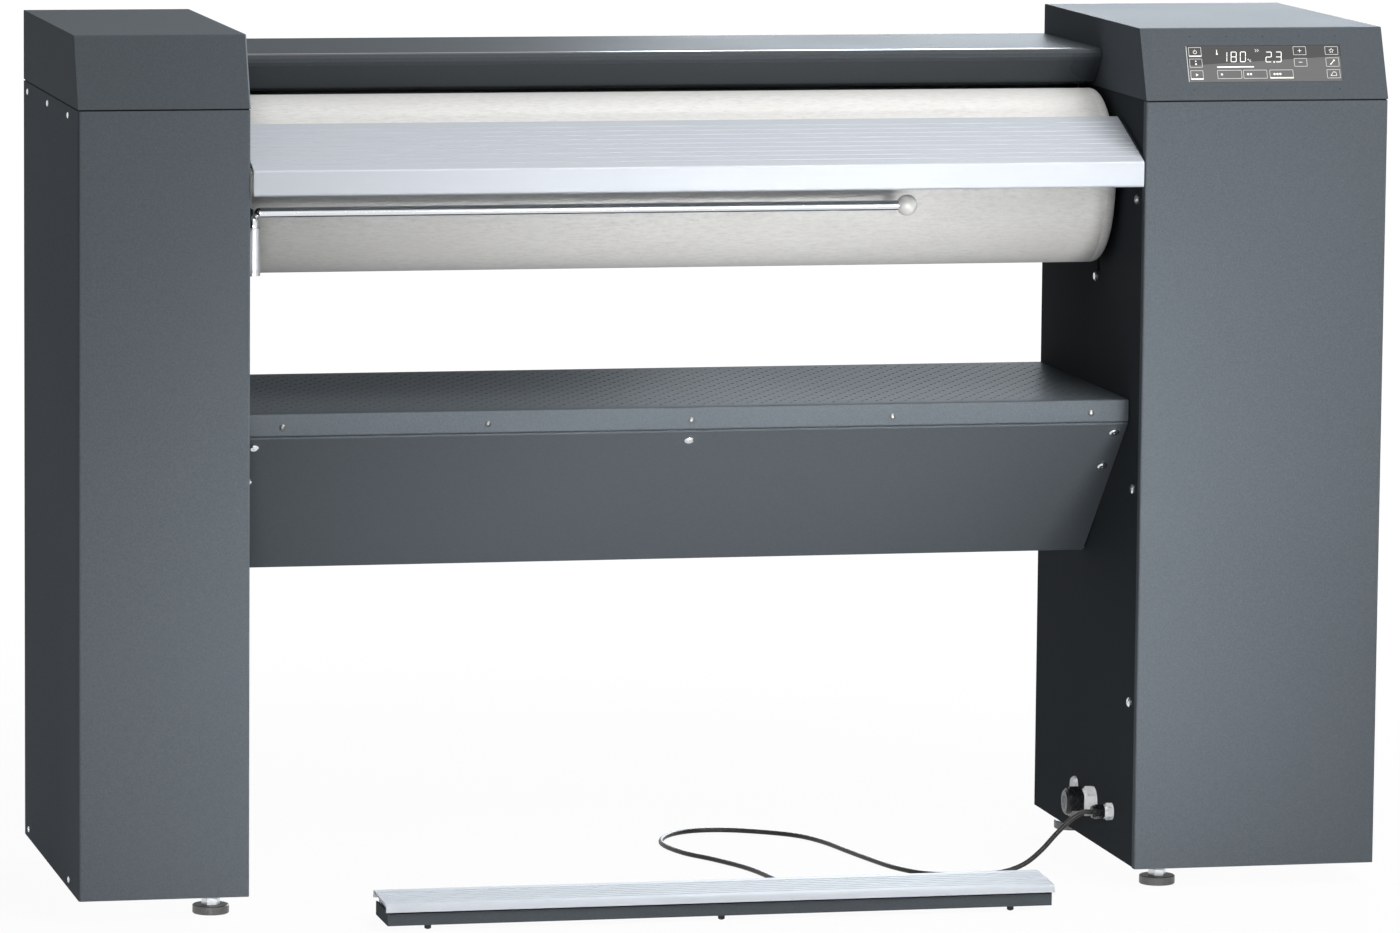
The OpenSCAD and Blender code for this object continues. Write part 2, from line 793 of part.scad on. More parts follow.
module cap_seals() {
    color("#1c1e20") place() {
        flat_ring([sheet, sheet, seam_z], [left_w - 2 * sheet, depth - 2 * sheet, seal_t], seal_w);
        flat_ring([right_x + sheet, sheet, seam_z], [right_w - 2 * sheet, depth - 2 * sheet, seal_t], seal_w);
    }
}

module touch_panel() {
    color("#202427") place() on_slope() {
        centred_block(glass_w, glass_h, -sheet, sheet);
        centred_block(glass_w + 2 * ledge_w, glass_h + 2 * ledge_w, -sheet - ledge_t, ledge_t);
    }
}

module control_board() {
    board_w = glass_w - 2 * ledge_w;
    board_h = glass_h - 2 * ledge_w;
    board_z = -sheet - ledge_t - board_gap - board_t;
    color("#2f6b45") place() on_slope() {
        centred_block(board_w, board_h, board_z, board_t);
        for (x = [-1, 1], y = [-1, 1])
            translate([x * (board_w / 2 - ledge_w), y * (board_h / 2 - ledge_w), board_z + board_t])
                cylinder(h = board_gap, d = ledge_w);
        centred_block(board_w / 4, board_h / 2, board_z - ledge_t, ledge_t);
    }
}

// Power board on the right side frame: its place, its sizes and those of what it carries
power_y = 60;
power_z = 210;
power_w = 260;
power_h = 200;
power_gap = 10;
power_t = 2;
relay_w = 36;
relay_h = 60;
relay_l = 44;
relay_pitch = 48;
terminal_w = 16;
terminal_count = 6;

module power_board() {
    x = right_in + power_gap;
    color("#b9bec2") place() {
        block([x, power_y, power_z], [power_t, power_w, power_h]);
        for (y = [terminal_w, power_w - terminal_w], z = [terminal_w, power_h - terminal_w])
            bar_x_at(right_in, power_y + y, power_z + z, power_gap, terminal_w / 2);
        for (k = [0:2])
            block([x + power_t, power_y + relay_w + k * relay_pitch, power_z + power_h - relay_h * 1.5],
                [relay_l, relay_w, relay_h]);
        for (k = [0:terminal_count - 1])
            block([x + power_t, power_y + relay_w + k * terminal_w * 1.1, power_z + terminal_w],
                [relay_l / 2, terminal_w, relay_w]);
    }
}

/* Roller, its bearings and its drive */

module bearing(w) {
    x = w - sheet - frame_t;
    difference() {
        union() {
            bar_x_at(x, roller_y, roller_z, frame_t + sheet, hub_d);
            bar_x_at(x - bearing_t - hub_l, roller_y, roller_z, bearing_t + hub_l, hub_d);
            block([x - bearing_t, roller_y - bearing_w / 2, roller_z - bearing_w / 2],
                [bearing_t, bearing_w, bearing_w]);
        }
        bar_x_at(x - bearing_t - hub_l - over, roller_y, roller_z,
            bearing_t + hub_l + frame_t + sheet + 2 * over, journal_d + 2 * run_clear);
    }
}

module roller_bearings() {
    color("#8f9498") place() {
        bearing(left_w);
        on_right() bearing(right_w);
    }
}

module ring_x(x, l, r_out, r_in) {
    difference() {
        bar_x_at(x, roller_y, roller_z, l, 2 * r_out);
        bar_x_at(x - over, roller_y, roller_z, l + 2 * over, 2 * r_in);
    }
}

module roller_tube() {
    color("#a7abae") place() ring_x(roller_x + hem_t, roller_l - 2 * hem_t, tube_d / 2, tube_d / 2 - tube_t);
}

module roller_padding() {
    color("#b8a98c") place() ring_x(roller_x + hem_t, roller_l - 2 * hem_t, padding_r, tube_d / 2);
}

module roller_cloth() {
    color("#dedbd3") place() {
        ring_x(roller_x, roller_l, cloth_r, padding_r);
        for (x = [roller_x, roller_x + roller_l - hem_t])
            ring_x(x, hem_t, padding_r, cloth_r - hem_l);
    }
}

module roller_journals() {
    disc_d = tube_d - 2 * tube_t;
    left_disc = roller_x + disc_inset;
    right_disc = roller_x + roller_l - disc_inset - disc_t;
    left_end = wall_l - frame_t - bearing_t - hub_l - rim_t;
    color("#9a9ea1") place() {
        bar_x_at(left_disc, roller_y, roller_z, disc_t, disc_d);
        bar_x_at(left_end, roller_y, roller_z, left_disc - left_end, journal_d);
        bar_x_at(right_disc, roller_y, roller_z, disc_t, disc_d);
        bar_x_at(right_disc, roller_y, roller_z, pulley_end + rim_t - right_disc, journal_d);
    }
}

// Outline of a toothed pulley, centred, with square teeth
module pulley_outline(d, teeth) {
    step = 360 / teeth;
    r = d / 2;
    polygon([for (k = [0:teeth - 1])
        each [for (q = [[r - tooth_h, 0.02], [r, 0.1], [r, 0.5], [r - tooth_h, 0.58]])
            q[0] * [cos((k + q[1]) * step), sin((k + q[1]) * step)]]]);
}

module pulley(x, y, z, d, teeth, bore) {
    difference() {
        union() {
            translate([x + rim_t, y, z]) rotate([90, 0, 90]) linear_extrude(pulley_w) pulley_outline(d, teeth);
            for (rim_x = [x, x + rim_t + pulley_w])
                bar_x_at(rim_x, y, z, rim_t, d + 2 * rim_h);
        }
        if (bore > 0)
            bar_x_at(x - over, y, z, pulley_w + 2 * rim_t + 2 * over, bore);
    }
}

module roller_pulley() {
    color("#7d8286") place() pulley(pulley_x, roller_y, roller_z, big_pulley_d, big_pulley_teeth, journal_d);
}

module motor_pulley() {
    color("#7d8286") place() {
        pulley(pulley_x, motor_y, motor_z, small_pulley_d, small_pulley_teeth, 0);
        bar_x_at(pulley_end, motor_y, motor_z, motor_plate_x + motor_plate_t + shaft_in - pulley_end, shaft_d);
    }
}

// Outline of the belt's inner or outer side, round the two pulleys, grown by g
module belt_loop(g) {
    big_r = big_pulley_d / 2 + g;
    small_r = small_pulley_d / 2 + g;
    run = [roller_y - motor_y, roller_z - motor_z];
    tilt = atan2(run[1], run[0]);
    lean = acos((small_r - big_r) / norm(run));
    steps = 36;
    translate([motor_y, motor_z]) polygon(concat(
        [for (k = [0:steps]) let(a = tilt + lean + (360 - 2 * lean) * k / steps) small_r * [cos(a), sin(a)]],
        [for (k = [0:steps]) let(a = tilt - lean + 2 * lean * k / steps) run + big_r * [cos(a), sin(a)]]));
}

module drive_belt() {
    x = pulley_x + rim_t + (pulley_w - belt_w) / 2;
    color("#202224") place() difference() {
        along_x(x, belt_w) belt_loop(belt_clear + belt_t);
        along_x(x - over, belt_w + 2 * over) belt_loop(belt_clear);
    }
}

// Gearmotor with its axis along X, its face at x and a blind bore for its shaft
module gearmotor(x, y, z, box_w, box_l, d, l, bore_d) {
    fin_t = l / 24;
    difference() {
        union() {
            block([x, y - box_w / 2, z - box_w / 2], [box_l, box_w, box_w]);
            bar_x_at(x + box_l, y, z, l, d * 0.86);
            for (k = [1:7])
                bar_x_at(x + box_l + k * 3 * fin_t, y, z, fin_t, d);
        }
        bar_x_at(x - over, y, z, shaft_in + rest_clear + over, bore_d + 2 * run_clear);
    }
}

module drive_motor() {
    color("#5c6f78") place() gearmotor(motor_plate_x + motor_plate_t, motor_y, motor_z, gearbox_w,
        gearbox_l, motor_d, motor_l, shaft_d);
}

module press_motor() {
    color("#5c6f78") place() gearmotor(press_plate_x + motor_plate_t, pivot_y, pinion_z, press_box_w,
        press_box_l, press_motor_d, press_motor_l, pinion_shaft_d);
}

// Square plate on four posts; the upper posts stand up_off over the shaft
module motor_stand(x, y, z, w, off, up_off, hole_d) {
    difference() {
        block([x, y - w / 2, z - w / 2], [motor_plate_t, w, w]);
        bar_x_at(x - over, y, z, motor_plate_t + 2 * over, hole_d);
    }
    for (dy = [-off, off], dz = [-off, up_off])
        bar_x_at(right_in, y + dy, z + dz, x - right_in, post_d);
}

module motor_brackets() {
    color("#5a6165") place() {
        motor_stand(motor_plate_x, motor_y, motor_z, motor_plate_w, post_off, post_off, shaft_d * 1.3);
        motor_stand(press_plate_x, pivot_y, pinion_z, press_plate_w, press_post_off, post_d * 1.15,
            pinion_shaft_d * 1.3);
    }
}

/* Heated plate and press drive */

module bush(w) {
    x = w - sheet - frame_t;
    difference() {
        union() {
            bar_x_at(x - bush_flange_t, pivot_y, pivot_z, frame_t + bush_flange_t, bush_d);
            bar_x_at(x + frame_t, pivot_y, pivot_z, bush_flange_t, bush_flange_d);
        }
        bar_x_at(x - bush_flange_t - over, pivot_y, pivot_z, frame_t + 2 * bush_flange_t + 2 * over,
            pivot_d + 2 * run_clear);
    }
}

module pivot_bushes() {
    color("#b08d57") place() {
        bush(left_w);
        on_right() bush(right_w);
    }
}

// Swings the pressed heater back to its lifted rest place
module lifted() {
    translate([0, pivot_y, pivot_z]) rotate([-lift_a, 0, 0]) translate([0, -pivot_y, -pivot_z]) children();
}

// Outline of a band round the roller, between two radii, as wide as the heated plate
module heater_band(r_in, r_out) {
    steps = 24;
    span = plate_top_a + plate_low_a;
    angles = [for (k = [0:steps]) -plate_low_a + span * k / steps];
    centre = [roller_y, roller_z];
    outer = [for (a = angles) centre + r_out * [cos(a), sin(a)]];
    inner = [for (k = [steps:-1:0]) centre + r_in * [cos(angles[k]), sin(angles[k])]];
    polygon(concat(outer, inner));
}

module heated_plate() {
    color("#b4b8ba") place() lifted()
        along_x(heater_x + end_plate_t, heater_l - 2 * end_plate_t) heater_band(plate_r, plate_r + plate_t);
}

module heating_elements() {
    pitch = (plate_top_a + plate_low_a) / element_count;
    color("#4d4a47") place() lifted()
        for (k = [0:element_count - 1]) {
            a = -plate_low_a + (k + 0.5) * pitch;
            bar_x_at(heater_x + end_plate_t, roller_y + element_r * cos(a), roller_z + element_r * sin(a),
                heater_l - 2 * end_plate_t, element_d);
        }
}

module heater_insulation() {
    color("#cfc9a8") place() lifted()
        along_x(heater_x + end_plate_t, heater_l - 2 * end_plate_t) heater_band(insulation_r, shell_r);
}

module heater_shell() {
    color("#8b8f92") place() lifted()
        along_x(heater_x + end_plate_t, heater_l - 2 * end_plate_t) heater_band(shell_r, shell_r + shell_t);
}

// End plate outline: the heater's band, and an arm from it down to the pivot
module end_plate_outline() {
    centre = [roller_y, roller_z];
    low = -plate_low_a;
    wide = low + plate_top_a / 3;
    mid_r = plate_r + plate_t;
    heater_band(plate_r, shell_r + shell_t);
    translate([pivot_y, pivot_z]) circle(r = boss_r);
    polygon([[pivot_y - boss_r, pivot_z], centre + mid_r * [cos(low), sin(low)],
        centre + mid_r * [cos(wide), sin(wide)], centre + shell_r * [cos(wide), sin(wide)],
        [pivot_y + boss_r, pivot_z]]);
}

module heater_end_plates() {
    left_pin = wall_l - frame_t - bush_flange_t - rim_t;
    right_end = heater_x + heater_l - end_plate_t;
    color("#7b8084") place() {
        lifted() {
            along_x(heater_x, end_plate_t) end_plate_outline();
            along_x(right_end, end_plate_t) end_plate_outline();
        }
        bar_x_at(left_pin, pivot_y, pivot_z, heater_x - left_pin, pivot_d);
        bar_x_at(right_end, pivot_y, pivot_z, sector_x + gear_t + rim_t - right_end, pivot_d);
    }
}

// Involute: pressure angle at radius r on a gear of pitch radius pr
pressure_a = 20;
function angle_at(r, pr) = acos(min(1, pr * cos(pressure_a) / r));
function involute(a) = tan(a) * 180 / PI - a;

// Half the angle that a tooth takes at radius r
function half_tooth(r, pr, teeth) = 90 / teeth - backlash / 4 / pr * 180 / PI
    + involute(pressure_a) - involute(angle_at(max(r, pr * cos(pressure_a)), pr));

// Points of one tooth about angle a, from root to root
function tooth_points(a, teeth) =
    let(pr = gear_module * teeth / 2, root = pr - 1.25 * gear_module, tip = pr + gear_module, n = 5,
        low = max(root, pr * cos(pressure_a)),
        radii = [for (k = [0:n]) low + (tip - low) * k / n],
        left = [for (r = concat([root], radii)) r * [cos(a - half_tooth(r, pr, teeth)), sin(a - half_tooth(r, pr, teeth))]],
        right = [for (k = [n:-1:0]) let(r = radii[k]) r * [cos(a + half_tooth(r, pr, teeth)), sin(a + half_tooth(r, pr, teeth))]],
        last = root * [cos(a + half_tooth(root, pr, teeth)), sin(a + half_tooth(root, pr, teeth))])
    concat(left, right, [last]);

module press_sector() {
    step = 360 / sector_teeth;
    half_n = (sector_cut_teeth - 1) / 2;
    teeth = [for (k = [-half_n:half_n]) each tooth_points(-90 + k * step, sector_teeth)];
    hub_a = sector_cut_teeth * step / 2;
    color("#84898c") place() translate([sector_x, pivot_y, pivot_z]) rotate([90, 0, 90]) difference() {
        linear_extrude(gear_t) union() {
            circle(r = sector_hub_r);
            polygon(concat(teeth, [sector_hub_r * [cos(-hub_a), sin(-hub_a)], sector_hub_r * [cos(180 + hub_a), sin(180 + hub_a)]]));
        }
        translate([0, 0, -over]) cylinder(h = gear_t + 2 * over, d = pivot_d);
    }
}

module press_pinion() {
    step = 360 / pinion_teeth;
    teeth = [for (k = [0:pinion_teeth - 1]) each tooth_points(90 + (k + 0.5) * step, pinion_teeth)];
    color("#84898c") place() {
        translate([sector_x, pivot_y, pinion_z]) rotate([90, 0, 90]) linear_extrude(gear_t) polygon(teeth);
        bar_x_at(sector_x + gear_t, pivot_y, pinion_z,
            press_plate_x + motor_plate_t + shaft_in - sector_x - gear_t, pinion_shaft_d);
    }
}

/* Heater cover and finger guard */

// Places along X of the guard's eyes and of the lugs beside them
eye_in = 30;
eye_xs = [left_w + eye_in, right_x - eye_in - guard_eye_t];
lug_xs = [left_w + eye_in + guard_eye_t + rest_clear, right_x - eye_in - 2 * guard_eye_t - rest_clear];

// Width of the tabs that hold the cover's rear wall on the side frames
hood_tab_w = 25;

module heater_cover() {
    path = [[hood_front_y, hood_top_z], [hood_back_y, hood_top_z], [hood_back_y, hood_low_z],
        [hood_back_y - hood_rim_w, hood_low_z]];
    lug_y = guard_axis[0] + guard_eye_r;
    tab_z = hood_low_z + bend_r;
    color("#3c4144") place() {
        along_x(left_w, gap_w) polygon(folded(path, -sheet, bend_r));
        for (x = [wall_l, right_x - sheet])
            block([x, hood_back_y - hood_tab_w, tab_z], [2 * sheet, hood_tab_w, seam_z - bend_r - tab_z]);
        for (x = lug_xs) {
            along_x(x, guard_eye_t) {
                translate(guard_axis) circle(r = guard_eye_r - run_clear);
                polygon([[hood_front_y, hood_top_z - sheet], [hood_front_y, guard_axis[1]],
                    guard_axis + [guard_eye_r / 2, 0], [lug_y, hood_top_z - sheet]]);
            }
        }
        bar_x_at(eye_xs[0], guard_axis[0], guard_axis[1], guard_eye_t + rest_clear, guard_pin_d);
        bar_x_at(lug_xs[1] + guard_eye_t, guard_axis[0], guard_axis[1], guard_eye_t + rest_clear, guard_pin_d);
    }
}

// Outer path of the finger guard, from its top edge to its lip
guard_path = [[hood_front_y - guard_gap, hood_top_z], [guard_tip_y, hood_top_z],
    [guard_turn_y, guard_lip_z + guard_turn_h], [guard_lip_y, guard_lip_z]];

// Middle of the guard's rounded nose
guard_half_a = acos(unit(guard_path[2] - guard_path[1])[0]) / 2;
guard_nose = guard_path[1] + guard_nose_r * [1 / tan(guard_half_a), -1];

module finger_guard() {
    eye = guard_axis;
    color("#45494c") place() {
        along_x(left_w + guard_gap, gap_w - 2 * guard_gap) polygon(guard_outline());
        for (x = eye_xs)
            difference() {
                along_x(x, guard_eye_t) {
                    translate(eye) circle(r = guard_eye_r);
                    polygon(concat([eye + [0, guard_eye_r]],
                        [for (a = [90:30:210]) guard_nose + (guard_nose_r - guard_t / 2) * [cos(a), sin(a)]],
                        [eye - [0, guard_eye_r]]));
                }
                bar_x_at(x - over, eye[0], eye[1], guard_eye_t + 2 * over, guard_pin_d + 2 * run_clear);
            }
    }
}

// Outline of the guard's sheet: the nose has its own radius
function guard_outline() =
    let(inner = side_path(guard_path, guard_t),
        near = rounded_path(guard_path, [0, guard_nose_r, bend_r, 0]),
        far = rounded_path(inner, [0, guard_nose_r - guard_t, bend_r + guard_t, 0]))
    concat(near, [for (i = [len(far) - 1:-1:0]) far[i]]);

/* Feed table, shelf and beam */

module feed_table() {
    front = -table_front;
    low_z = table_front_z - table_lip_h;
    nose = [table_back_y + table_t, table_back_z - 3 * table_t];
    path = [[front + 4 * table_t, low_z], [front, low_z], [front, table_front_z],
        [table_back_y, table_back_z], nose];
    margin = (norm([table_run, table_rise]) - (table_rib_count - 1) * table_rib_pitch) / 2;
    color("#cdd2d6") place() {
        along_x(left_w + table_clear, gap_w - 2 * table_clear) polygon(folded(path, -table_t, table_edge_r));
        for (k = [0:table_rib_count - 1])
            along_x(left_w + table_clear, gap_w - 2 * table_clear) translate([front, table_front_z]) rotate(table_a)
                translate([margin + k * table_rib_pitch - table_rib_w / 2, -table_t / 2])
                    square([table_rib_w, table_rib_h + table_t / 2]);
    }
}

// Wall bracket of the table: a plate on the side frame with a shelf under the extrusion
module table_bracket(w) {
    drop = table_t / cos(table_a);
    y0 = rim_w + table_t;
    y1 = table_back_y - 4 * table_t;
    z0 = table_front_z + (y0 + table_front) * tan(table_a) - drop;
    z1 = table_front_z + (y1 + table_front) * tan(table_a) - drop;
    along_x(w - sheet, frame_t)
        polygon([[y0, z0], [y1, z1], [y1, z1 - table_bracket_h], [y0, z0 - table_bracket_h]]);
    along_x(w - sheet, table_bracket_w)
        polygon([[y0, z0], [y1, z1], [y1, z1 - frame_t], [y0, z0 - frame_t]]);
}

module table_brackets() {
    color("#5a6165") place() {
        table_bracket(left_w);
        on_right() table_bracket(right_w);
    }
}

module linen_shelf() {
    path = [[shelf_front_y + shelf_rim_w, apron_z], [shelf_front_y, apron_z], [shelf_front_y, shelf_z],
        [shelf_back_y, shelf_z], [shelf_back_y, shelf_z - shelf_fold_h],
        [shelf_back_y - shelf_rim_w, shelf_z - shelf_fold_h]];
    color("#4b5154") place()
        along_x(left_w + shelf_clear, gap_w - 2 * shelf_clear) polygon(folded(path, -sheet, bend_r));
}

// Top fold line of the slanted panel and its run down to the lower fold
panel_top = [shelf_front_y - sheet, apron_z];
panel_run = [panel_low_y, panel_low_z] - panel_top;

module slanted_panel() {
    path = [panel_top + [shelf_rim_w, 0], panel_top, panel_top + panel_run,
        panel_top + panel_run + [panel_rim_w, 0]];
    color("#3f4447") place()
        along_x(left_w + shelf_clear, gap_w - 2 * shelf_clear) polygon(folded(path, sheet, sheet * 4 / 3));
}

// Square tube along X between the side frames
module cross_rail(y, z) {
    difference() {
        block([wall_l, y, z], [frame_gap, rail_w, rail_w]);
        block([wall_l - over, y + rail_t, z + rail_t],
            [frame_gap + 2 * over, rail_w - 2 * rail_t, rail_w - 2 * rail_t]);
    }
}

module cross_rails() {
    color("#4a5054") place() {
        cross_rail(panel_low_y + bend_r, panel_low_z + sheet);
        cross_rail(shelf_back_y - rear_rail_gap - rail_w, shelf_z - sheet - rail_w);
    }
}

/* Screws */

// Screw places, as distances from the edges that they hold
apron_screw_count = 5;
apron_screw_in = 47;
apron_screw_share = 0.42;
side_screw_ys = [81, 254, 428];
side_screw_gap = 10.5;
wall_screw_in = 35;
wall_screw_zs = [223, 480.5, 827];
slot_screw_y = 6;
slot_screw_z = 18.5;
panel_screw_in = 15;
panel_screw_shares = [0.07, 0.33];
rear_screw_in = 7;

module dome_screws() {
    pitch = (gap_w - 2 * apron_screw_in) / (apron_screw_count - 1);
    color("#2c2f31") place() {
        for (k = [0:apron_screw_count - 1])
            translate([left_w + apron_screw_in + k * pitch, shelf_front_y, apron_z + apron_screw_share * apron_h])
                rotate([90, 0, 0]) dome_head();
        rear_screws(left_w);
        on_right() rear_screws(right_w);
    }
}

module side_screws() {
    for (y = side_screw_ys)
        translate([0, y, seam_z - side_screw_gap]) rotate([0, -90, 0]) dome_head();
    for (y = [side_screw_ys[0], side_screw_ys[2]])
        translate([0, y, casing_z + side_screw_gap + sheet]) rotate([0, -90, 0]) dome_head();
}

module wall_screws(w) {
    for (z = wall_screw_zs)
        translate([w - sheet, wall_screw_in, z]) rotate([0, 90, 0]) pan_head();
    translate([w - sheet, roller_y + slot_screw_y, roller_z - cloth_r - slot_screw_z])
        rotate([0, 90, 0]) pan_head();
}

module rear_screws(w) {
    for (x = [sheet + rear_screw_in, w - sheet - frame_t - rear_screw_in])
        for (z = [casing_z + 3 * rear_screw_in, (casing_z + seam_z) / 2, seam_z - 3 * rear_screw_in])
            translate([x, rear_seat + sheet, z]) rotate([-90, 0, 0]) dome_head();
}

module pan_screws() {
    edges = [panel_screw_in, gap_w - panel_screw_in];
    color("#c6cace") place() {
        for (share = panel_screw_shares)
            for (x = share == panel_screw_shares[0] ? concat(edges, [gap_w / 2]) : edges)
                translate([left_w + x, panel_top[0] + share * panel_run[0], panel_top[1] + share * panel_run[1]])
                    rotate([atan2(-panel_run[1], -panel_run[0]), 0, 0]) pan_head();
        side_screws();
        on_right() side_screws();
        wall_screws(left_w);
        on_right() wall_screws(right_w);
    }
}

/* Swivel rod */

module rod_socket() {
    plate_z = socket_low_z + socket_end_t;
    sleeve_y = rod_y;
    color("#9da2a6") place() difference() {
        union() {
            translate([leg_x, sleeve_y, socket_low_z]) cylinder(h = socket_l, d = socket_d);
            block([wall_l, sleeve_y - socket_plate_w / 2, plate_z],
                [frame_t, socket_plate_w, socket_l - 2 * socket_end_t]);
            block([wall_l, sleeve_y - frame_t, plate_z], [leg_x - wall_l, 2 * frame_t, socket_l - 2 * socket_end_t]);
        }
        translate([leg_x, sleeve_y, socket_low_z + socket_end_t]) cylinder(h = socket_l, r = rod_d / 2 + run_clear);
    }
}

module swivel_rod() {
    leg_z = socket_low_z + socket_end_t + rest_clear;
    bend_z = rod_z - rod_bend_r;
    rod_x = leg_x + rod_d * 2 / 3;
    color("#d4d7d9") place() {
        translate([leg_x, rod_y, leg_z]) cylinder(h = bend_z - leg_z, d = rod_d);
        translate([leg_x, rod_y + rod_bend_r, bend_z]) rotate([90, 0, -90])
            rotate_extrude(angle = 90) translate([rod_bend_r, 0]) circle(d = rod_d);
        translate([leg_x, rod_y + rod_bend_r, rod_z]) rotate([-90, 0, 0]) cylinder(h = rod_tail_l, d = rod_d);
        translate([leg_x, rod_y + rod_bend_r + rod_tail_l, rod_z]) sphere(d = rod_d);
        translate([rod_x, rod_y, rod_z]) sphere(d = rod_d);
        bar_x_at(rod_x, rod_y, rod_z, ball_x - ball_d / 2 + ball_in - rod_x, rod_d);
    }
}

module rod_ball() {
    steps = 16;
    a0 = -acos(rod_d / ball_d);
    arc = [for (k = [0:steps]) let(a = a0 + (90 - a0) * k / steps) ball_d / 2 * [cos(a), sin(a)]];
    deep = ball_in - ball_d / 2;
    color("#eceae6") place() translate([ball_x, rod_y, rod_z]) rotate([0, 90, 0])
        rotate_extrude($fn = 64) polygon(concat(arc, [[0, deep], [rod_d / 2, deep]]));
}

/* Glands */

// Hexagon of width af across the flats, along X
module hex_x(x, y, z, l, af) {
    translate([x, y, z]) rotate([0, 90, 0]) cylinder(h = l, r = af / sqrt(3), $fn = 6);
}

module gland_body(y, z, af, base_l, thread_d, bore_d) {
    flange_t = base_l / 5;
    collar_l = base_l * 0.3;
    difference() {
        union() {
            bar_x_at(wall_r - flange_t, y, z, flange_t, af * 1.12);
            hex_x(wall_r - base_l + collar_l, y, z, base_l - flange_t - collar_l, af);
            bar_x_at(wall_r - base_l, y, z, collar_l, af * 0.95);
            bar_x_at(wall_r, y, z, frame_t + thread_l, thread_d);
            hex_x(wall_r + frame_t, y, z, thread_l / 2, af);
        }
        bar_x_at(wall_r - base_l - over, y, z, base_l + frame_t + thread_l + 2 * over, bore_d);
    }
}

module gland_bodies() {
    color("#8d9296") place() {
        gland_body(mains_y, mains_z, mains_af, mains_base_l, mains_thread_d, mains_insert_d);
        gland_body(pedal_y, pedal_z, pedal_af, pedal_base_l, pedal_thread_d, 2 * cable_r + rest_clear);
        bar_x_at(wall_r - plug_l / 2, plug_y, plug_z, plug_l / 2, plug_d);
        mouth_cone(wall_r - plug_l / 2, plug_y, plug_z, plug_l / 2, plug_d);
        bar_x_at(wall_r, plug_y, plug_z, frame_t + thread_l, pedal_thread_d);
    }
}

// Cone that narrows towards the wall's outer side
module mouth_cone(x, y, z, l, d) {
    translate([x, y, z]) rotate([0, -90, 0]) cylinder(h = l, d1 = d, d2 = d * 0.85);
}

// Cap of a gland: a hexagon nut with a bevelled lip round its mouth
module gland_cap(y, z, base_l, af, l, bore_d) {
    x = wall_r - base_l - l;
    lip_l = l * 0.28;
    difference() {
        union() {
            hex_x(x + lip_l, y, z, l - lip_l, af);
            bar_x_at(x + lip_l / 2, y, z, lip_l / 2, af * 1.02);
            mouth_cone(x + lip_l / 2, y, z, lip_l / 2, af * 1.02);
        }
        bar_x_at(x - over, y, z, l + 2 * over, bore_d);
    }
}

module gland_caps() {
    color("#25282a") place() {
        gland_cap(mains_y, mains_z, mains_base_l, mains_cap_d, mains_cap_l, mains_insert_d);
        gland_cap(pedal_y, pedal_z, pedal_base_l, pedal_cap_d, pedal_cap_l, cable_r);
    }
}

// Soft ring that closes on the mains cable
module gland_inserts() {
    color("#a9adb0") place() difference() {
        bar_x_at(wall_r - mains_base_l - mains_cap_l, mains_y, mains_z, mains_cap_l, mains_insert_d);
        bar_x_at(wall_r - mains_base_l - mains_cap_l - over, mains_y, mains_z, mains_cap_l + 2 * over, mains_bore_d);
    }
}

/* Levelling feet */

module foot(x, y) {
    color("#9ea3a6") place() translate([x, y, 0]) {
        cylinder(h = pad_edge, d1 = pad_d - 2 * pad_edge, d2 = pad_d);
        translate([0, 0, pad_edge]) cylinder(h = pad_h - 2 * pad_edge, d = pad_d);
        translate([0, 0, pad_h - pad_edge]) cylinder(h = pad_edge, d1 = pad_d, d2 = pad_d - 2 * pad_edge);
        translate([0, 0, pad_h]) cylinder(h = foot_hex_h, r = foot_hex_af / sqrt(3), $fn = 6);
        translate([0, 0, pad_h]) cylinder(h = stem_l, d = stem_d);
    }
}

module foot_front_left() {
    foot(foot_xs[0], foot_ys[0]);
}

module foot_rear_left() {
    foot(foot_xs[0], foot_ys[1]);
}

module foot_front_right() {
    foot(foot_xs[1], foot_ys[0]);
}

module foot_rear_right() {
    foot(foot_xs[1], foot_ys[1]);
}

module foot_lock_nuts() {
    color("#b4b8bb") place()
        for (x = foot_xs, y = foot_ys)
            translate([x, y, base_z - nut_h]) difference() {
                cylinder(h = nut_h, r = nut_af / sqrt(3), $fn = 6);
                translate([0, 0, -over]) cylinder(h = nut_h + 2 * over, r = stem_d / 2 + run_clear);
            }
}

/* Foot bar */

// Eyes of the cover stand inside the tray's ends; the pins reach through them
bar_eye_gap = 1;
bar_eye_xs = [tray_x + tray_t + bar_eye_gap, tray_x + tray_l - tray_t - bar_eye_gap - bar_eye_t];

module bar_tray() {
    wall_h = tray_h - tray_t;
    depth_y = tray_back_y - tray_front_y;
    color("#474d50") place() {
        difference() {
            union() {
                block([tray_x, tray_front_y, stud_h], [tray_l, depth_y, tray_t]);
                block([tray_x, tray_front_y, stud_h + tray_t], [tray_l, tray_t, wall_h - tray_t]);
                block([tray_x, tray_back_y - tray_t, stud_h + tray_t], [tray_l, tray_t, wall_h - tray_t]);
                for (x = [tray_x, tray_x + tray_l - tray_t])
                    block([x, tray_front_y, stud_h + tray_t], [tray_t, depth_y, wall_h]);
            }
            translate([cable_in_x, tray_back_y - tray_t - over, cable_in_z]) rotate([-90, 0, 0])
                cylinder(h = tray_t + 2 * over, r = grommet_r);
        }
        bar_x_at(tray_x, bar_axis[0], bar_axis[1], tray_t + bar_eye_gap + bar_eye_t, bar_pin_d);
        bar_x_at(bar_eye_xs[1], bar_axis[0], bar_axis[1], tray_t + bar_eye_gap + bar_eye_t, bar_pin_d);
    }
}

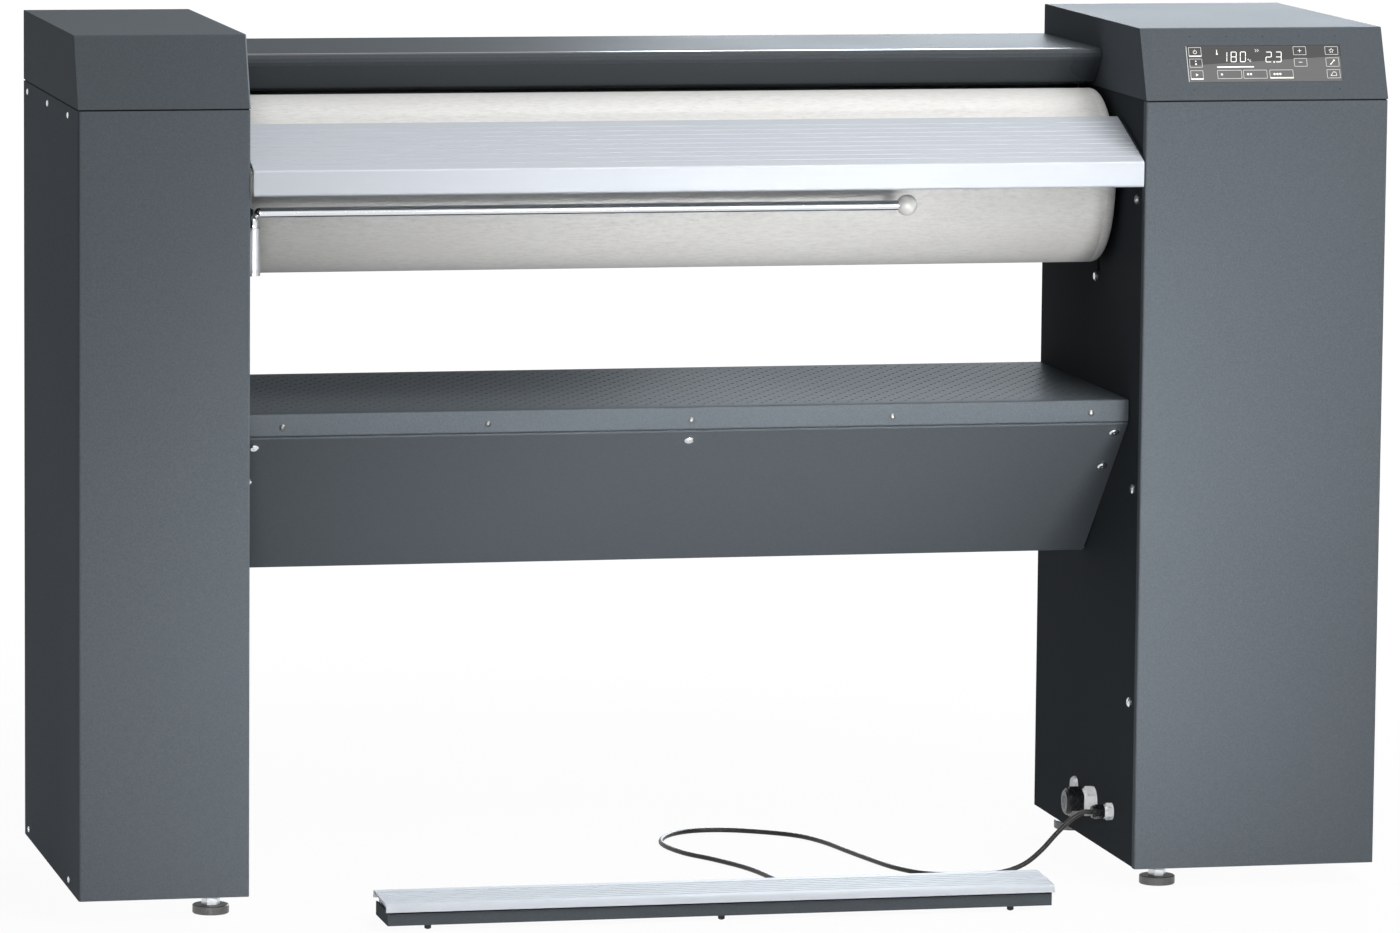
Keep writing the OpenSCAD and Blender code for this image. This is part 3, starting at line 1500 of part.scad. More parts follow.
// Grommet: radius of its neck and flange, and the flange's thickness
grommet_r = 4.5;
grommet_flange_r = 6;
grommet_flange_t = tray_back_y < cable_in_y ? cable_in_y - tray_back_y : tray_t;

module cable_grommet() {
    color("#1d1f20") place() translate([cable_in_x, tray_back_y, cable_in_z]) rotate([-90, 0, 0]) {
        translate([0, 0, -tray_t]) cylinder(h = tray_t, r = grommet_r);
        cylinder(h = grommet_flange_t, r = grommet_flange_r);
    }
}

module bar_cover() {
    front = bar_front_y;
    path = [[front, bar_front_z - bar_lip_h], [front, bar_front_z], [bar_back_y, bar_back_z],
        [bar_back_y, bar_back_z - bar_back_lip_h]];
    margin = (bar_depth / cos(bar_slope) - (bar_rib_count - 1) * bar_rib_pitch) / 2;
    color("#cfd4d8") place() {
        along_x(bar_x, bar_l) {
            polygon(folded(path, -bar_t, bar_t + run_clear));
            translate([front, bar_front_z]) rotate(bar_slope)
                for (k = [0:bar_rib_count - 1])
                    translate([margin + k * bar_rib_pitch - bar_rib_w / 2, -bar_t / 2])
                        square([bar_rib_w, bar_rib_h + bar_t / 2]);
        }
        for (x = bar_eye_xs)
            difference() {
                along_x(x, bar_eye_t) {
                    translate(bar_axis) circle(r = bar_eye_r);
                    polygon([bar_axis - [bar_eye_r, 0], bar_axis + [bar_eye_r, 0],
                        [bar_axis[0] + bar_eye_r, cover_z(bar_axis[0] + bar_eye_r) - bar_t / 2],
                        [bar_axis[0] - bar_eye_r, cover_z(bar_axis[0] - bar_eye_r) - bar_t / 2]]);
                }
                bar_x_at(x - over, bar_axis[0], bar_axis[1], bar_eye_t + 2 * over, bar_pin_d + 2 * run_clear);
            }
    }
}

// Studs: how far they stand in from the bar's ends and its front and rear edges
stud_end_in = 51;
stud_edge_in = 11;

module bar_studs() {
    color("#2a2c2e") place()
        for (x = [bar_x + stud_end_in, bar_x + bar_l / 2, bar_x + bar_l - stud_end_in])
            for (y = [bar_front_y + stud_edge_in, bar_back_y - stud_edge_in])
                translate([x, y, 0]) intersection() {
                    cylinder(h = stud_h, d = stud_d);
                    translate([0, 0, stud_d * 0.75]) sphere(d = stud_d * 1.5, $fn = 48);
                }
}

// Switch block under the cover, with its plunger
switch_l = 40;
switch_w = 14;
switch_h = 12;
plunger_d = 5;
plunger_h = 5;

module bar_switch() {
    x = bar_x + bar_l * 3 / 4;
    color("#26292b") place() {
        block([x, spring_y - switch_w / 2, spring_z], [switch_l, switch_w, switch_h]);
        translate([x + switch_l / 2, spring_y, spring_z + switch_h]) cylinder(h = plunger_h, d = plunger_d);
    }
}

// Folded rubber buffers between the tray and the cover
module bar_buffers() {
    step = buffer_l / (2 * buffer_folds);
    side = [for (k = [0:2 * buffer_folds]) [buffer_d / 2 * (k % 2 == 0 ? 0.7 : 1), k * step]];
    color("#2b2d2f") place()
        for (x = [bar_x + stud_end_in, bar_x + bar_l / 2, bar_x + bar_l - stud_end_in])
            translate([x, spring_y, spring_z]) rotate_extrude() polygon(concat([[0, 0]], side, [[0, buffer_l]]));
}

/* Foot cable */

// Point and direction of a smooth curve through the points, at share u of step i
function curve_point(p, i, u) =
    let(a = p[max(i - 1, 0)], b = p[i], c = p[i + 1], d = p[min(i + 2, len(p) - 1)])
    b + u / 2 * (c - a + u * (2 * a - 5 * b + 4 * c - d + u * (3 * (b - c) + d - a)));
function curve_points(p, steps) = concat([for (i = [0:len(p) - 2], k = [0:steps - 1]) curve_point(p, i, k / steps)],
    [p[len(p) - 1]]);
function direction(p, i) = unit(p[min(i + 1, len(p) - 1)] - p[max(i - 1, 0)]);
function ring_points(at, dir) =
    let(side = unit(cross(dir, [0, 0, 1])), up = cross(side, dir))
    [for (k = [0:cable_sides - 1]) at + cable_r * (cos((k + 0.5) * 360 / cable_sides) * side
        + sin((k + 0.5) * 360 / cable_sides) * up)];

module bar_cable() {
    line = curve_points(cable_route, cable_steps);
    rings = [for (i = [0:len(line) - 1]) each ring_points(line[i], direction(line, i))];
    n = cable_sides;
    walls = [for (i = [0:len(line) - 2], k = [0:n - 1])
        each let(a = i * n + k, b = i * n + (k + 1) % n) [[a, a + n, b], [b, a + n, b + n]]];
    color("#3b3e40") polyhedron(points = rings,
        faces = concat([[for (k = [0:n - 1]) k]], walls, [[for (k = [n - 1:-1:0]) (len(line) - 1) * n + k]]));
}

left_side_frame();
left_casing();
left_rear_cover();
left_cap();
left_base_plate();
right_side_frame();
right_casing();
right_rear_cover();
right_cap();
right_base_plate();
cap_seals();
touch_panel();
control_board();
power_board();
roller_bearings();
drive_motor();
motor_brackets();
drive_belt();
press_motor();
pivot_bushes();
heater_cover();
feed_table();
table_brackets();
linen_shelf();
slanted_panel();
cross_rails();
dome_screws();
pan_screws();
rod_socket();
gland_bodies();
gland_caps();
gland_inserts();
foot_lock_nuts();
bar_tray();
bar_studs();
bar_switch();
bar_buffers();
cable_grommet();
bar_cable();
roller_tube();
roller_padding();
roller_cloth();
roller_journals();
roller_pulley();
motor_pulley();
press_pinion();
heated_plate();
heating_elements();
heater_insulation();
heater_shell();
heater_end_plates();
press_sector();
finger_guard();
swivel_rod();
rod_ball();
foot_front_left();
foot_rear_left();
foot_front_right();
foot_rear_right();
bar_cover();
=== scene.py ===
"""Flatwork ironer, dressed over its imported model: camera, cable, pieces, finishes and studio light.

Lengths are in metres. Places on the machine are given in millimetres from the outer side of the left
column, the front plane of the columns and the floor, and spot() turns them into the frame's metres.
"""

import json
import math

import bpy
from mathutils import Matrix, Vector


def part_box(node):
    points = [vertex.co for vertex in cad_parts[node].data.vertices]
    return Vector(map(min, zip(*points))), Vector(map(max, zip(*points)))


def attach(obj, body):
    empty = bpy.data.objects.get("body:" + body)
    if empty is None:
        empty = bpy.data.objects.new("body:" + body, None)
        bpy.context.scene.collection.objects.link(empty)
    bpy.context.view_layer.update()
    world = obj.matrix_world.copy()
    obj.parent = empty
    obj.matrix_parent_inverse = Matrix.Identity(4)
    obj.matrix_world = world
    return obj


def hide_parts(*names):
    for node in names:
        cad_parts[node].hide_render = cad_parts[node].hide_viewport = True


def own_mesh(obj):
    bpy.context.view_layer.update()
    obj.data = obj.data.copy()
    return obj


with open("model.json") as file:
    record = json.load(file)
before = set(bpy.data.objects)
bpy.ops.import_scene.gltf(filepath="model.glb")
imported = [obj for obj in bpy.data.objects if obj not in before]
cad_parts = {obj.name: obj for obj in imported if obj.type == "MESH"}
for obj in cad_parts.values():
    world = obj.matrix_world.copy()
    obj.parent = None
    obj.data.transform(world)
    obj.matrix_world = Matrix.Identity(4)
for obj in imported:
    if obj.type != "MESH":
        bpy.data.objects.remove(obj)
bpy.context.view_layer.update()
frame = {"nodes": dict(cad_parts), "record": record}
NODES = frame["nodes"]

MM_PER_M = 1000
# From the left column and the columns' front plane to the frame's middle, in millimetres
SHIFT_X = 784
SHIFT_Y = 179


def spot(x, y, z):
    """A place on the machine, in millimetres, as a point of the frame in metres."""
    return Vector(((x - SHIFT_X) / MM_PER_M, (y - SHIFT_Y) / MM_PER_M, z / MM_PER_M))


# Camera

# Its place in millimetres, its turn in degrees, and its lens and sensor in millimetres
CAMERA_PLACE = (-1256.7, -8897.3, 1677.3)
CAMERA_YAW = 12.6093
CAMERA_PITCH = -7.2238
CAMERA_ROLL = 0.5235
CAMERA_LENS = 201.52
CAMERA_SENSOR = 36
# How far it sees, in metres
CAMERA_REACH = 60


def photo_camera():
    """The camera at the photograph's place, turned as it was, with its long lens."""
    yaw, pitch, roll = (math.radians(a) for a in (CAMERA_YAW, CAMERA_PITCH, CAMERA_ROLL))
    forward = Vector((math.sin(yaw) * math.cos(pitch), math.cos(yaw) * math.cos(pitch), math.sin(pitch)))
    level = Vector((math.cos(yaw), -math.sin(yaw), 0))
    upright = level.cross(forward)
    right = math.cos(roll) * level + math.sin(roll) * upright
    up = math.cos(roll) * upright - math.sin(roll) * level
    bpy.ops.object.camera_add()
    camera = bpy.context.object
    camera.name = "photo_camera"
    turn = Matrix((right, up, -forward)).transposed().to_4x4()
    camera.matrix_world = Matrix.Translation(spot(*CAMERA_PLACE)) @ turn
    camera.data.sensor_width = CAMERA_SENSOR
    camera.data.lens = CAMERA_LENS
    camera.data.clip_end = CAMERA_REACH
    bpy.context.scene.camera = camera


# Node helpers

# Sockets of the mix node when it mixes colours
MIX_FIRST, MIX_SECOND, MIX_RESULT = 6, 7, 2


def new_finish(name):
    """A new node material and its shader."""
    finish = bpy.data.materials.new(name)
    finish.use_nodes = True
    return finish, finish.node_tree.nodes["Principled BSDF"]


def node(finish, kind, **settings):
    """A new node of a material, or of the world, with its settings."""
    made = finish.node_tree.nodes.new(kind)
    for key, value in settings.items():
        setattr(made, key, value)
    return made


def link(finish, start, end):
    """Links an output to a socket."""
    finish.node_tree.links.new(start, end)


def feed(finish, value, socket):
    """Gives a socket its value: another node's output, a colour of three numbers, or one number."""
    if isinstance(value, bpy.types.NodeSocket):
        link(finish, value, socket)
    elif isinstance(value, tuple):
        socket.default_value = (*value, 1)
    else:
        socket.default_value = value


def maths(finish, operation, *values):
    """The result of one operation on its values, each an output or a number."""
    made = node(finish, "ShaderNodeMath", operation=operation)
    for value, socket in zip(values, made.inputs):
        feed(finish, value, socket)
    return made.outputs["Value"]


def split(finish, vector):
    """The X, Y and Z of a vector, as outputs."""
    parts = node(finish, "ShaderNodeSeparateXYZ")
    link(finish, vector, parts.inputs["Vector"])
    return parts.outputs


def object_place(finish, scale=(1, 1, 1)):
    """Object coordinates through a mapping, so that a pattern can be stretched along a piece."""
    place = node(finish, "ShaderNodeTexCoord")
    mapping = node(finish, "ShaderNodeMapping")
    mapping.inputs["Scale"].default_value = scale
    link(finish, place.outputs["Object"], mapping.inputs["Vector"])
    return mapping.outputs["Vector"]


def noise(finish, place, scale, detail=3, rough=0.5):
    """A random brightness that changes slowly from place to place."""
    made = node(finish, "ShaderNodeTexNoise")
    made.inputs["Scale"].default_value = scale
    made.inputs["Detail"].default_value = detail
    made.inputs["Roughness"].default_value = rough
    link(finish, place, made.inputs["Vector"])
    return made.outputs["Fac"]


def grains(finish, place, scale):
    """A random brightness for each small cell, as in flake paint."""
    made = node(finish, "ShaderNodeTexVoronoi", feature="F1")
    made.inputs["Scale"].default_value = scale
    link(finish, place, made.inputs["Vector"])
    brightness = node(finish, "ShaderNodeRGBToBW")
    link(finish, made.outputs["Color"], brightness.inputs["Color"])
    return brightness.outputs["Val"]


def ramp(finish, factor, stops):
    """A colour ramp through (position, colour) stops."""
    made = node(finish, "ShaderNodeValToRGB")
    points = made.color_ramp.elements
    while len(points) < len(stops):
        points.new(0.5)
    for point, (position, colour) in zip(points, stops):
        point.position = position
        point.color = (*colour, 1)
    link(finish, factor, made.inputs["Fac"])
    return made.outputs["Color"]


def span(finish, factor, low, high, from_low=0.0, from_high=1.0):
    """Carries a factor from one range of values to another."""
    made = node(finish, "ShaderNodeMapRange")
    made.inputs["From Min"].default_value = from_low
    made.inputs["From Max"].default_value = from_high
    made.inputs["To Min"].default_value = low
    made.inputs["To Max"].default_value = high
    link(finish, factor, made.inputs["Value"])
    return made.outputs["Result"]


def blend_colours(finish, factor, first, second):
    """Mixes two colours, each an output or three numbers, by a factor."""
    made = node(finish, "ShaderNodeMix", data_type="RGBA")
    feed(finish, factor, made.inputs["Factor"])
    feed(finish, first, made.inputs[MIX_FIRST])
    feed(finish, second, made.inputs[MIX_SECOND])
    return made.outputs[MIX_RESULT]


def rough_bump(finish, shader, height, strength, depth):
    """Raises the surface by a height that goes from 0 to 1, over a depth in metres."""
    made = node(finish, "ShaderNodeBump")
    made.inputs["Strength"].default_value = strength
    made.inputs["Distance"].default_value = depth
    link(finish, height, made.inputs["Height"])
    link(finish, made.outputs["Normal"], shader.inputs["Normal"])


def seen_share(owner):
    """1 for what is seen straight on, in a gloss or through glass, and 0 for the light that surfaces get."""
    path = node(owner, "ShaderNodeLightPath")
    seen = maths(owner, "MAXIMUM", path.outputs["Is Camera Ray"], path.outputs["Is Glossy Ray"])
    return maths(owner, "MAXIMUM", seen, path.outputs["Is Transmission Ray"])


# Finishes

# Cool cast of the enamels
PAINT_TINT = (0.88, 1.0, 1.11)
# Patterns in sprayed enamel, in cells or waves to the metre
FLAKES, SPECKS, DRIFTS, ORANGE_PEEL = 900, 420, 3.5, 260
# How many times brighter the painted highlight along a bend is than the paint
BEND_HIGHLIGHT_GAIN = 2.6
# Distances from a bend between which that painted highlight fades, in metres
BEND_HIGHLIGHT_FADE = (0.0008, 0.0019)
# Sideways parts of a face's normal between which it stops being part of the front, and the painted highlight
# stops
HIGHLIGHT_SIDE_FADE = (0.3, 0.6)
# Waves to the metre across and along the drawing lines of metal
DRAWN_ACROSS, DRAWN_ALONG = 600.0, 6.0
# The border of the painted reflection on the glass: its rise for each metre across, and the heights between
# which it fades
REFLECTION_BORDER_RISE = 0.052
REFLECTION_BORDER_FADE = (0.9585, 0.9588)
# Heights on a levelling foot between which its side turns into its black top, and that into its stem
FOOT_RIM = (0.0094, 0.0098)
FOOT_STEM = (0.0104, 0.0105)


def grey(level):
    """A linear grey with the cool cast of the paint."""
    return tuple(level * t for t in PAINT_TINT)


def bend_highlight_share(finish, place, bends):
    """The painted highlight's share: 1 on the front close to the upright bends, which are named by their X,
    and 0 elsewhere.
    """
    across = split(finish, place)["X"]
    share = 0.0
    for x in bends:
        off = maths(finish, "ABSOLUTE", maths(finish, "SUBTRACT", across, x))
        share = maths(finish, "MAXIMUM", share, span(finish, off, 1.0, 0.0, *BEND_HIGHLIGHT_FADE))
    outward = node(finish, "ShaderNodeNewGeometry")
    sideways = maths(finish, "ABSOLUTE", split(finish, outward.outputs["True Normal"])["X"])
    return maths(finish, "MULTIPLY", share, span(finish, sideways, 1.0, 0.0, *HIGHLIGHT_SIDE_FADE))


def flake_paint(name, level, spread, roughness, shine=0.5, bends=()):
    """Sprayed enamel with fine flakes: bright and dark grains, orange peel, an uneven gloss, and a painted
    highlight along the bends.
    """
    finish, shader = new_finish(name)
    place = object_place(finish)
    flakes = grains(finish, place, FLAKES)
    fine = noise(finish, place, SPECKS, detail=2)
    drift = noise(finish, place, DRIFTS, detail=4)
    dark, light = grey(level * (1 - spread)), grey(level * (1 + spread))
    speckle = ramp(finish, flakes, [(0.15, dark), (0.55, grey(level)), (0.9, light)])
    worn = blend_colours(finish, span(finish, fine, 0.0, 0.45), speckle, grey(level * 0.92))
    tone = blend_colours(finish, span(finish, drift, 0.0, 0.25, 0.35, 0.7), worn, grey(level * 1.12))
    # Paler paint along the bends: a painted highlight standing in for the light the rounded bends catch
    if bends:
        tone = blend_colours(finish, bend_highlight_share(finish, place, bends), tone, grey(BEND_HIGHLIGHT_GAIN * level))
    link(finish, tone, shader.inputs["Base Color"])
    link(finish, span(finish, drift, roughness - 0.05, roughness + 0.06), shader.inputs["Roughness"])
    shader.inputs["Specular IOR Level"].default_value = shine
    peel = noise(finish, place, ORANGE_PEEL, detail=3)
    rough_bump(finish, shader, peel, strength=0.12, depth=0.0004)
    return finish


def brushed_metal(name, colour, along, roughness, contrast=0.12, metal=1.0):
    """Metal with fine drawing lines along one axis, and a slow change in its gloss."""
    finish, shader = new_finish(name)
    stretch = [DRAWN_ACROSS] * 3
    stretch[along] = DRAWN_ALONG
    lines = noise(finish, object_place(finish, scale=stretch), 1.0, detail=4, rough=0.6)
    drift = noise(finish, object_place(finish), 9, detail=3)
    dull = tuple(c * (1 - contrast) for c in colour)
    link(finish, blend_colours(finish, lines, dull, colour), shader.inputs["Base Color"])
    drawn = span(finish, lines, roughness - 0.06, roughness + 0.06)
    uneven = span(finish, drift, -0.04, 0.04)
    link(finish, maths(finish, "ADD", drawn, uneven), shader.inputs["Roughness"])
    shader.inputs["Metallic"].default_value = metal
    rough_bump(finish, shader, lines, strength=0.05, depth=0.0001)
    return finish


def zinc_plating(name, colour=(0.62, 0.64, 0.66), roughness=0.38):
    """Zinc-plated steel: spangled patches of slightly different grey, with a dull film."""
    finish, shader = new_finish(name)
    place = object_place(finish)
    spangle = grains(finish, place, 120)
    film = noise(finish, place, 30, detail=5)
    tone = blend_colours(finish, span(finish, spangle, 0.0, 0.5), colour, tuple(c * 0.8 for c in colour))
    tone = blend_colours(finish, span(finish, film, 0.0, 0.3, 0.4, 0.8), tone, (0.70, 0.70, 0.66))
    link(finish, tone, shader.inputs["Base Color"])
    link(finish, span(finish, film, roughness - 0.08, roughness + 0.12), shader.inputs["Roughness"])
    shader.inputs["Metallic"].default_value = 1
    rough_bump(finish, shader, film, strength=0.06, depth=0.0002)
    return finish


def moulded(name, colour, roughness, shine=0.5, grain=500, depth=0.00015, film=0.012):
    """Moulded plastic or rubber: fine eroded grain, dust in the hollows, patches in the gloss."""
    finish, shader = new_finish(name)
    place = object_place(finish)
    skin = noise(finish, place, grain, detail=4, rough=0.6)
    dust = noise(finish, place, 14, detail=5, rough=0.65)
    dusty = tuple(min(1, c * 1.25 + film) for c in colour)
    tone = blend_colours(finish, span(finish, dust, 0.0, 0.4, 0.45, 0.75), colour, dusty)
    link(finish, tone, shader.inputs["Base Color"])
    link(finish, span(finish, skin, roughness - 0.07, roughness + 0.07), shader.inputs["Roughness"])
    shader.inputs["Specular IOR Level"].default_value = shine
    rough_bump(finish, shader, skin, strength=0.25, depth=depth)
    return finish


def needle_felt(name):
    """The roller's cover: a dense off-white felt with drawn fibres, pressed patches and a soft sheen."""
    finish, shader = new_finish(name)
    fibres = noise(finish, object_place(finish, scale=(14, 60, 60)), 6, detail=6, rough=0.7)
    tufts = noise(finish, object_place(finish, scale=(60, 110, 110)), 4, detail=5, rough=0.6)
    stains = noise(finish, object_place(finish, scale=(1.4, 5, 5)), 3.0, detail=6, rough=0.6)
    shades = [(0.32, (0.69, 0.68, 0.65)), (0.5, (0.80, 0.79, 0.765)), (0.7, (0.87, 0.86, 0.845))]
    base = ramp(finish, fibres, shades)
    worn = blend_colours(finish, span(finish, stains, 0.0, 0.55, 0.42, 0.72), base, (0.73, 0.715, 0.685))
    fluffy = blend_colours(finish, span(finish, tufts, 0.0, 0.25, 0.4, 0.7), worn, (0.89, 0.88, 0.865))
    link(finish, fluffy, shader.inputs["Base Color"])
    shader.inputs["Roughness"].default_value = 0.93
    shader.inputs["Specular IOR Level"].default_value = 0.15
    shader.inputs["Sheen Weight"].default_value = 0.12
    shader.inputs["Sheen Roughness"].default_value = 0.6
    rough_bump(finish, shader, maths(finish, "ADD", fibres, tufts), strength=0.35, depth=0.0007)
    return finish


def panel_glass(name):
    """Back-printed touch glass with a painted reflection: a darker upper part and a paler lower part with a
    slanting border.
    """
    finish, shader = new_finish(name)
    place = object_place(finish)
    parts = split(finish, place)
    slant = maths(finish, "MULTIPLY_ADD", parts["X"], -REFLECTION_BORDER_RISE, parts["Z"])
    upper = span(finish, slant, 0, 1, *REFLECTION_BORDER_FADE)
    fine = noise(finish, place, 700, detail=2)
    # The two tones and their slanting border are a painted reflection
    tone = blend_colours(finish, upper, (0.165, 0.164, 0.162), (0.085, 0.085, 0.085))
    tone = blend_colours(finish, span(finish, fine, 0.0, 0.12), tone, (0.05, 0.05, 0.05))
    link(finish, tone, shader.inputs["Base Color"])
    link(finish, span(finish, fine, 0.2, 0.28), shader.inputs["Roughness"])
    shader.inputs["Specular IOR Level"].default_value = 0.02
    return finish


def lit_mark(name, strength, colour=(0.93, 0.92, 0.88)):
    """A printed mark with light behind it, a little uneven across."""
    finish, shader = new_finish(name)
    uneven = noise(finish, object_place(finish), 300, detail=2)
    tone = blend_colours(finish, span(finish, uneven, 0.0, 0.3), colour, tuple(c * 0.85 for c in colour))
    link(finish, tone, shader.inputs["Base Color"])
    link(finish, tone, shader.inputs["Emission Color"])
    shader.inputs["Emission Strength"].default_value = strength
    shader.inputs["Roughness"].default_value = 0.5
    return finish


def foot_finish(name):
    """A levelling foot: a pad with a worn satin side and a black top, and a bright plated stem."""
    finish, shader = new_finish(name)
    place = object_place(finish)
    height = split(finish, place)["Z"]
    stem = span(finish, height, 0, 1, *FOOT_STEM)
    below_top = span(finish, height, 1, 0, *FOOT_RIM)
    film = noise(finish, place, 60, detail=5)
    side = blend_colours(finish, span(finish, film, 0.0, 0.6), (0.16, 0.158, 0.155), (0.22, 0.218, 0.21))
    pad = blend_colours(finish, below_top, (0.012, 0.013, 0.014), side)
    plated = blend_colours(finish, span(finish, film, 0.0, 0.4), (0.74, 0.76, 0.79), (0.62, 0.63, 0.64))
    link(finish, blend_colours(finish, stem, pad, plated), shader.inputs["Base Color"])
    link(finish, stem, shader.inputs["Metallic"])
    link(finish, span(finish, stem, 0.42, 0.3), shader.inputs["Roughness"])
    rough_bump(finish, shader, film, strength=0.1, depth=0.0002)
    return finish


def circuit_board(name):
    """A green board with paler tracks in rows."""
    finish, shader = new_finish(name)
    place = object_place(finish, scale=(260, 260, 260))
    tracks = node(finish, "ShaderNodeTexBrick")
    tracks.inputs["Scale"].default_value = 1.0
    tracks.inputs["Color1"].default_value = (0.03, 0.16, 0.07, 1)
    tracks.inputs["Color2"].default_value = (0.035, 0.20, 0.09, 1)
    tracks.inputs["Mortar"].default_value = (0.10, 0.30, 0.12, 1)
    link(finish, place, tracks.inputs["Vector"])
    link(finish, tracks.outputs["Color"], shader.inputs["Base Color"])
    link(finish, span(finish, noise(finish, place, 0.4), 0.25, 0.4), shader.inputs["Roughness"])
    return finish


def make_finishes():
    """Every finish, by the record's slot or by the name that a node or a piece asks for."""
    # X of the upright bends that get the painted highlight
    column_bends = (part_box("left_casing")[1].x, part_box("right_casing")[0].x)
    cap_bends = (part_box("left_cap")[1].x,)
    across, back = 0, 1
    return {
        # Enamels: level of grey, spread of the flakes, roughness, shine, bends that get a painted highlight
        "column_paint": flake_paint("iron_grey_flake_paint", 0.148, 0.16, 0.62, 0.006, column_bends),
        # The caps in a darker copy of the column paint: painted shade
        "shaded_cap_paint": flake_paint("shaded_cap_flake_paint", 0.114, 0.12, 0.55, 0.0065, cap_bends),
        "dark_paint": flake_paint("dark_enamel", 0.088, 0.10, 0.5, 0.004),
        # The side frames' inner walls in a darker copy of the paint: painted shade
        "shaded_inner_wall": flake_paint("shaded_inner_wall_enamel", 0.044, 0.10, 0.68, 0.01),
        # The shelf's top in a darker copy of its paint: painted shade
        "shelf": flake_paint("shaded_shelf_enamel", 0.097, 0.10, 0.4, 0.0008),
        # The slanted panel in a paler copy of the dark paint, for the light and reflection on it: painted
        # light
        "beam": flake_paint("beam_enamel", 0.122, 0.10, 0.35, 0.02),
        "guard": flake_paint("guard_enamel", 0.066, 0.10, 0.28, 0.12),
        "motor_paint": flake_paint("motor_enamel", 0.11, 0.08, 0.5),
        # Plated steel: colour, roughness
        "zinc_plated": zinc_plating("zinc_plating"),
        "screw_black": zinc_plating("blackened_screws", (0.13, 0.135, 0.14), 0.35),
        "screw_bright": zinc_plating("bright_screw_plating", (0.80, 0.82, 0.84), 0.25),
        # Drawn metals: colour, axis of the drawing lines, roughness, contrast, metallic share
        "bare_steel": brushed_metal("ground_steel", (0.60, 0.61, 0.62), across, 0.3),
        "gear_steel": brushed_metal("gear_steel", (0.45, 0.46, 0.47), back, 0.35),
        "rod_chrome": brushed_metal("chromed_rod", (0.80, 0.82, 0.84), across, 0.12, 0.05),
        "extruded_aluminium": brushed_metal("drawn_aluminium", (0.58, 0.612, 0.66), across, 0.5, 0.06, 0.12),
        # The foot bar's cover in a darker copy of the table's aluminium: painted shade
        "shaded_bar_aluminium": brushed_metal("shaded_bar_aluminium", (0.56, 0.59, 0.632), across, 0.6, 0.04, 0.05),
        "plate_aluminium": brushed_metal("ironing_plate", (0.72, 0.73, 0.74), across, 0.2),
        "bronze": brushed_metal("sintered_bronze", (0.55, 0.36, 0.16), across, 0.4),
        "element_oxide": brushed_metal("oxidised_sheath", (0.26, 0.23, 0.21), across, 0.5),
        # Felt
        "roller_fabric": needle_felt("roller_needle_felt"),
        "springy_felt": needle_felt("under_felt"),
        # Rubber, plastic and wool: colour, roughness, shine
        "mineral_wool": moulded("mineral_wool", (0.52, 0.49, 0.36), 0.95, 0.1, grain=200, depth=0.001),
        "seal_rubber": moulded("foam_seal", (0.012, 0.013, 0.014), 0.85, 0.2),
        "stud_rubber": moulded("stud_rubber", (0.022, 0.023, 0.024), 0.7, 0.35),
        "belt_rubber": moulded("belt_rubber", (0.02, 0.02, 0.022), 0.6, 0.35),
        "cable_sheath": moulded("cable_sheath", (0.022, 0.021, 0.020), 0.4, 0.3, grain=900),
        "white_ball": moulded("white_knob_plastic", (0.86, 0.85, 0.82), 0.22, grain=60, depth=0.00002),
        "gland_black": moulded("gland_polyamide", (0.008, 0.009, 0.010), 0.27, 0.35, film=0.002),
        "gland_grey": moulded("pale_polyamide", (0.86, 0.87, 0.88), 0.4, 0.4),
        "insert": moulded("gland_insert_rubber", (0.20, 0.22, 0.245), 0.5, 0.4),
        "switch_black": moulded("switch_housing", (0.03, 0.031, 0.032), 0.5, 0.4),
        # Pits as flat discs in near black: painted shade
        "pit": moulded("painted_pit_shade", (0.03, 0.03, 0.03), 0.8, 0.1),
        # Glass, marks with the strength of their light, circuit board and feet
        "panel_glass": panel_glass("touch_glass"),
        "mark": lit_mark("lit_mark", 0.45),
        "faint_mark": lit_mark("printed_frame", 0.14, (0.72, 0.71, 0.68)),
        "board_green": circuit_board("circuit_board"),
        "foot": foot_finish("levelling_foot"),
    }


# Nodes whose finish isn't the one of their slot. The caps, side frames, shelf, slanted panel and bar cover
# get copies of their paint or metal set darker or paler: painted shade and light
OWN_FINISHES = {
    "left_cap": "shaded_cap_paint",
    "right_cap": "shaded_cap_paint",
    "left_side_frame": "shaded_inner_wall",
    "right_side_frame": "shaded_inner_wall",
    "linen_shelf": "shelf",
    "slanted_panel": "beam",
    "finger_guard": "guard",
    "gland_inserts": "insert",
    "bar_cover": "shaded_bar_aluminium",
    "foot_front_left": "foot",
    "foot_rear_left": "foot",
    "foot_front_right": "foot",
    "foot_rear_right": "foot",
}


def dress_nodes(finishes):
    """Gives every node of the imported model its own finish, or else the one of its slot in the record."""
    slots = {row["node"]: row["material_slot"] for row in frame["record"]["subparts"]}
    for name, piece in NODES.items():
        piece.data.materials.clear()
        piece.data.materials.append(finishes[OWN_FINISHES.get(name, slots[name])])


# Modelling helpers


def clear_selection():
    """Ends any editing and selects nothing."""
    if bpy.context.object and bpy.context.object.mode != "OBJECT":
        bpy.ops.object.mode_set(mode="OBJECT")
    bpy.ops.object.select_all(action="DESELECT")


def choose(*pieces):
    """Selects these pieces alone, with the first of them active."""
    clear_selection()
    for piece in pieces:
        piece.select_set(True)
    bpy.context.view_layer.objects.active = pieces[0]


def edit_all():
    """Opens the active piece for editing, with all of it selected."""
    bpy.ops.object.mode_set(mode="EDIT")
    bpy.ops.mesh.select_all(action="SELECT")


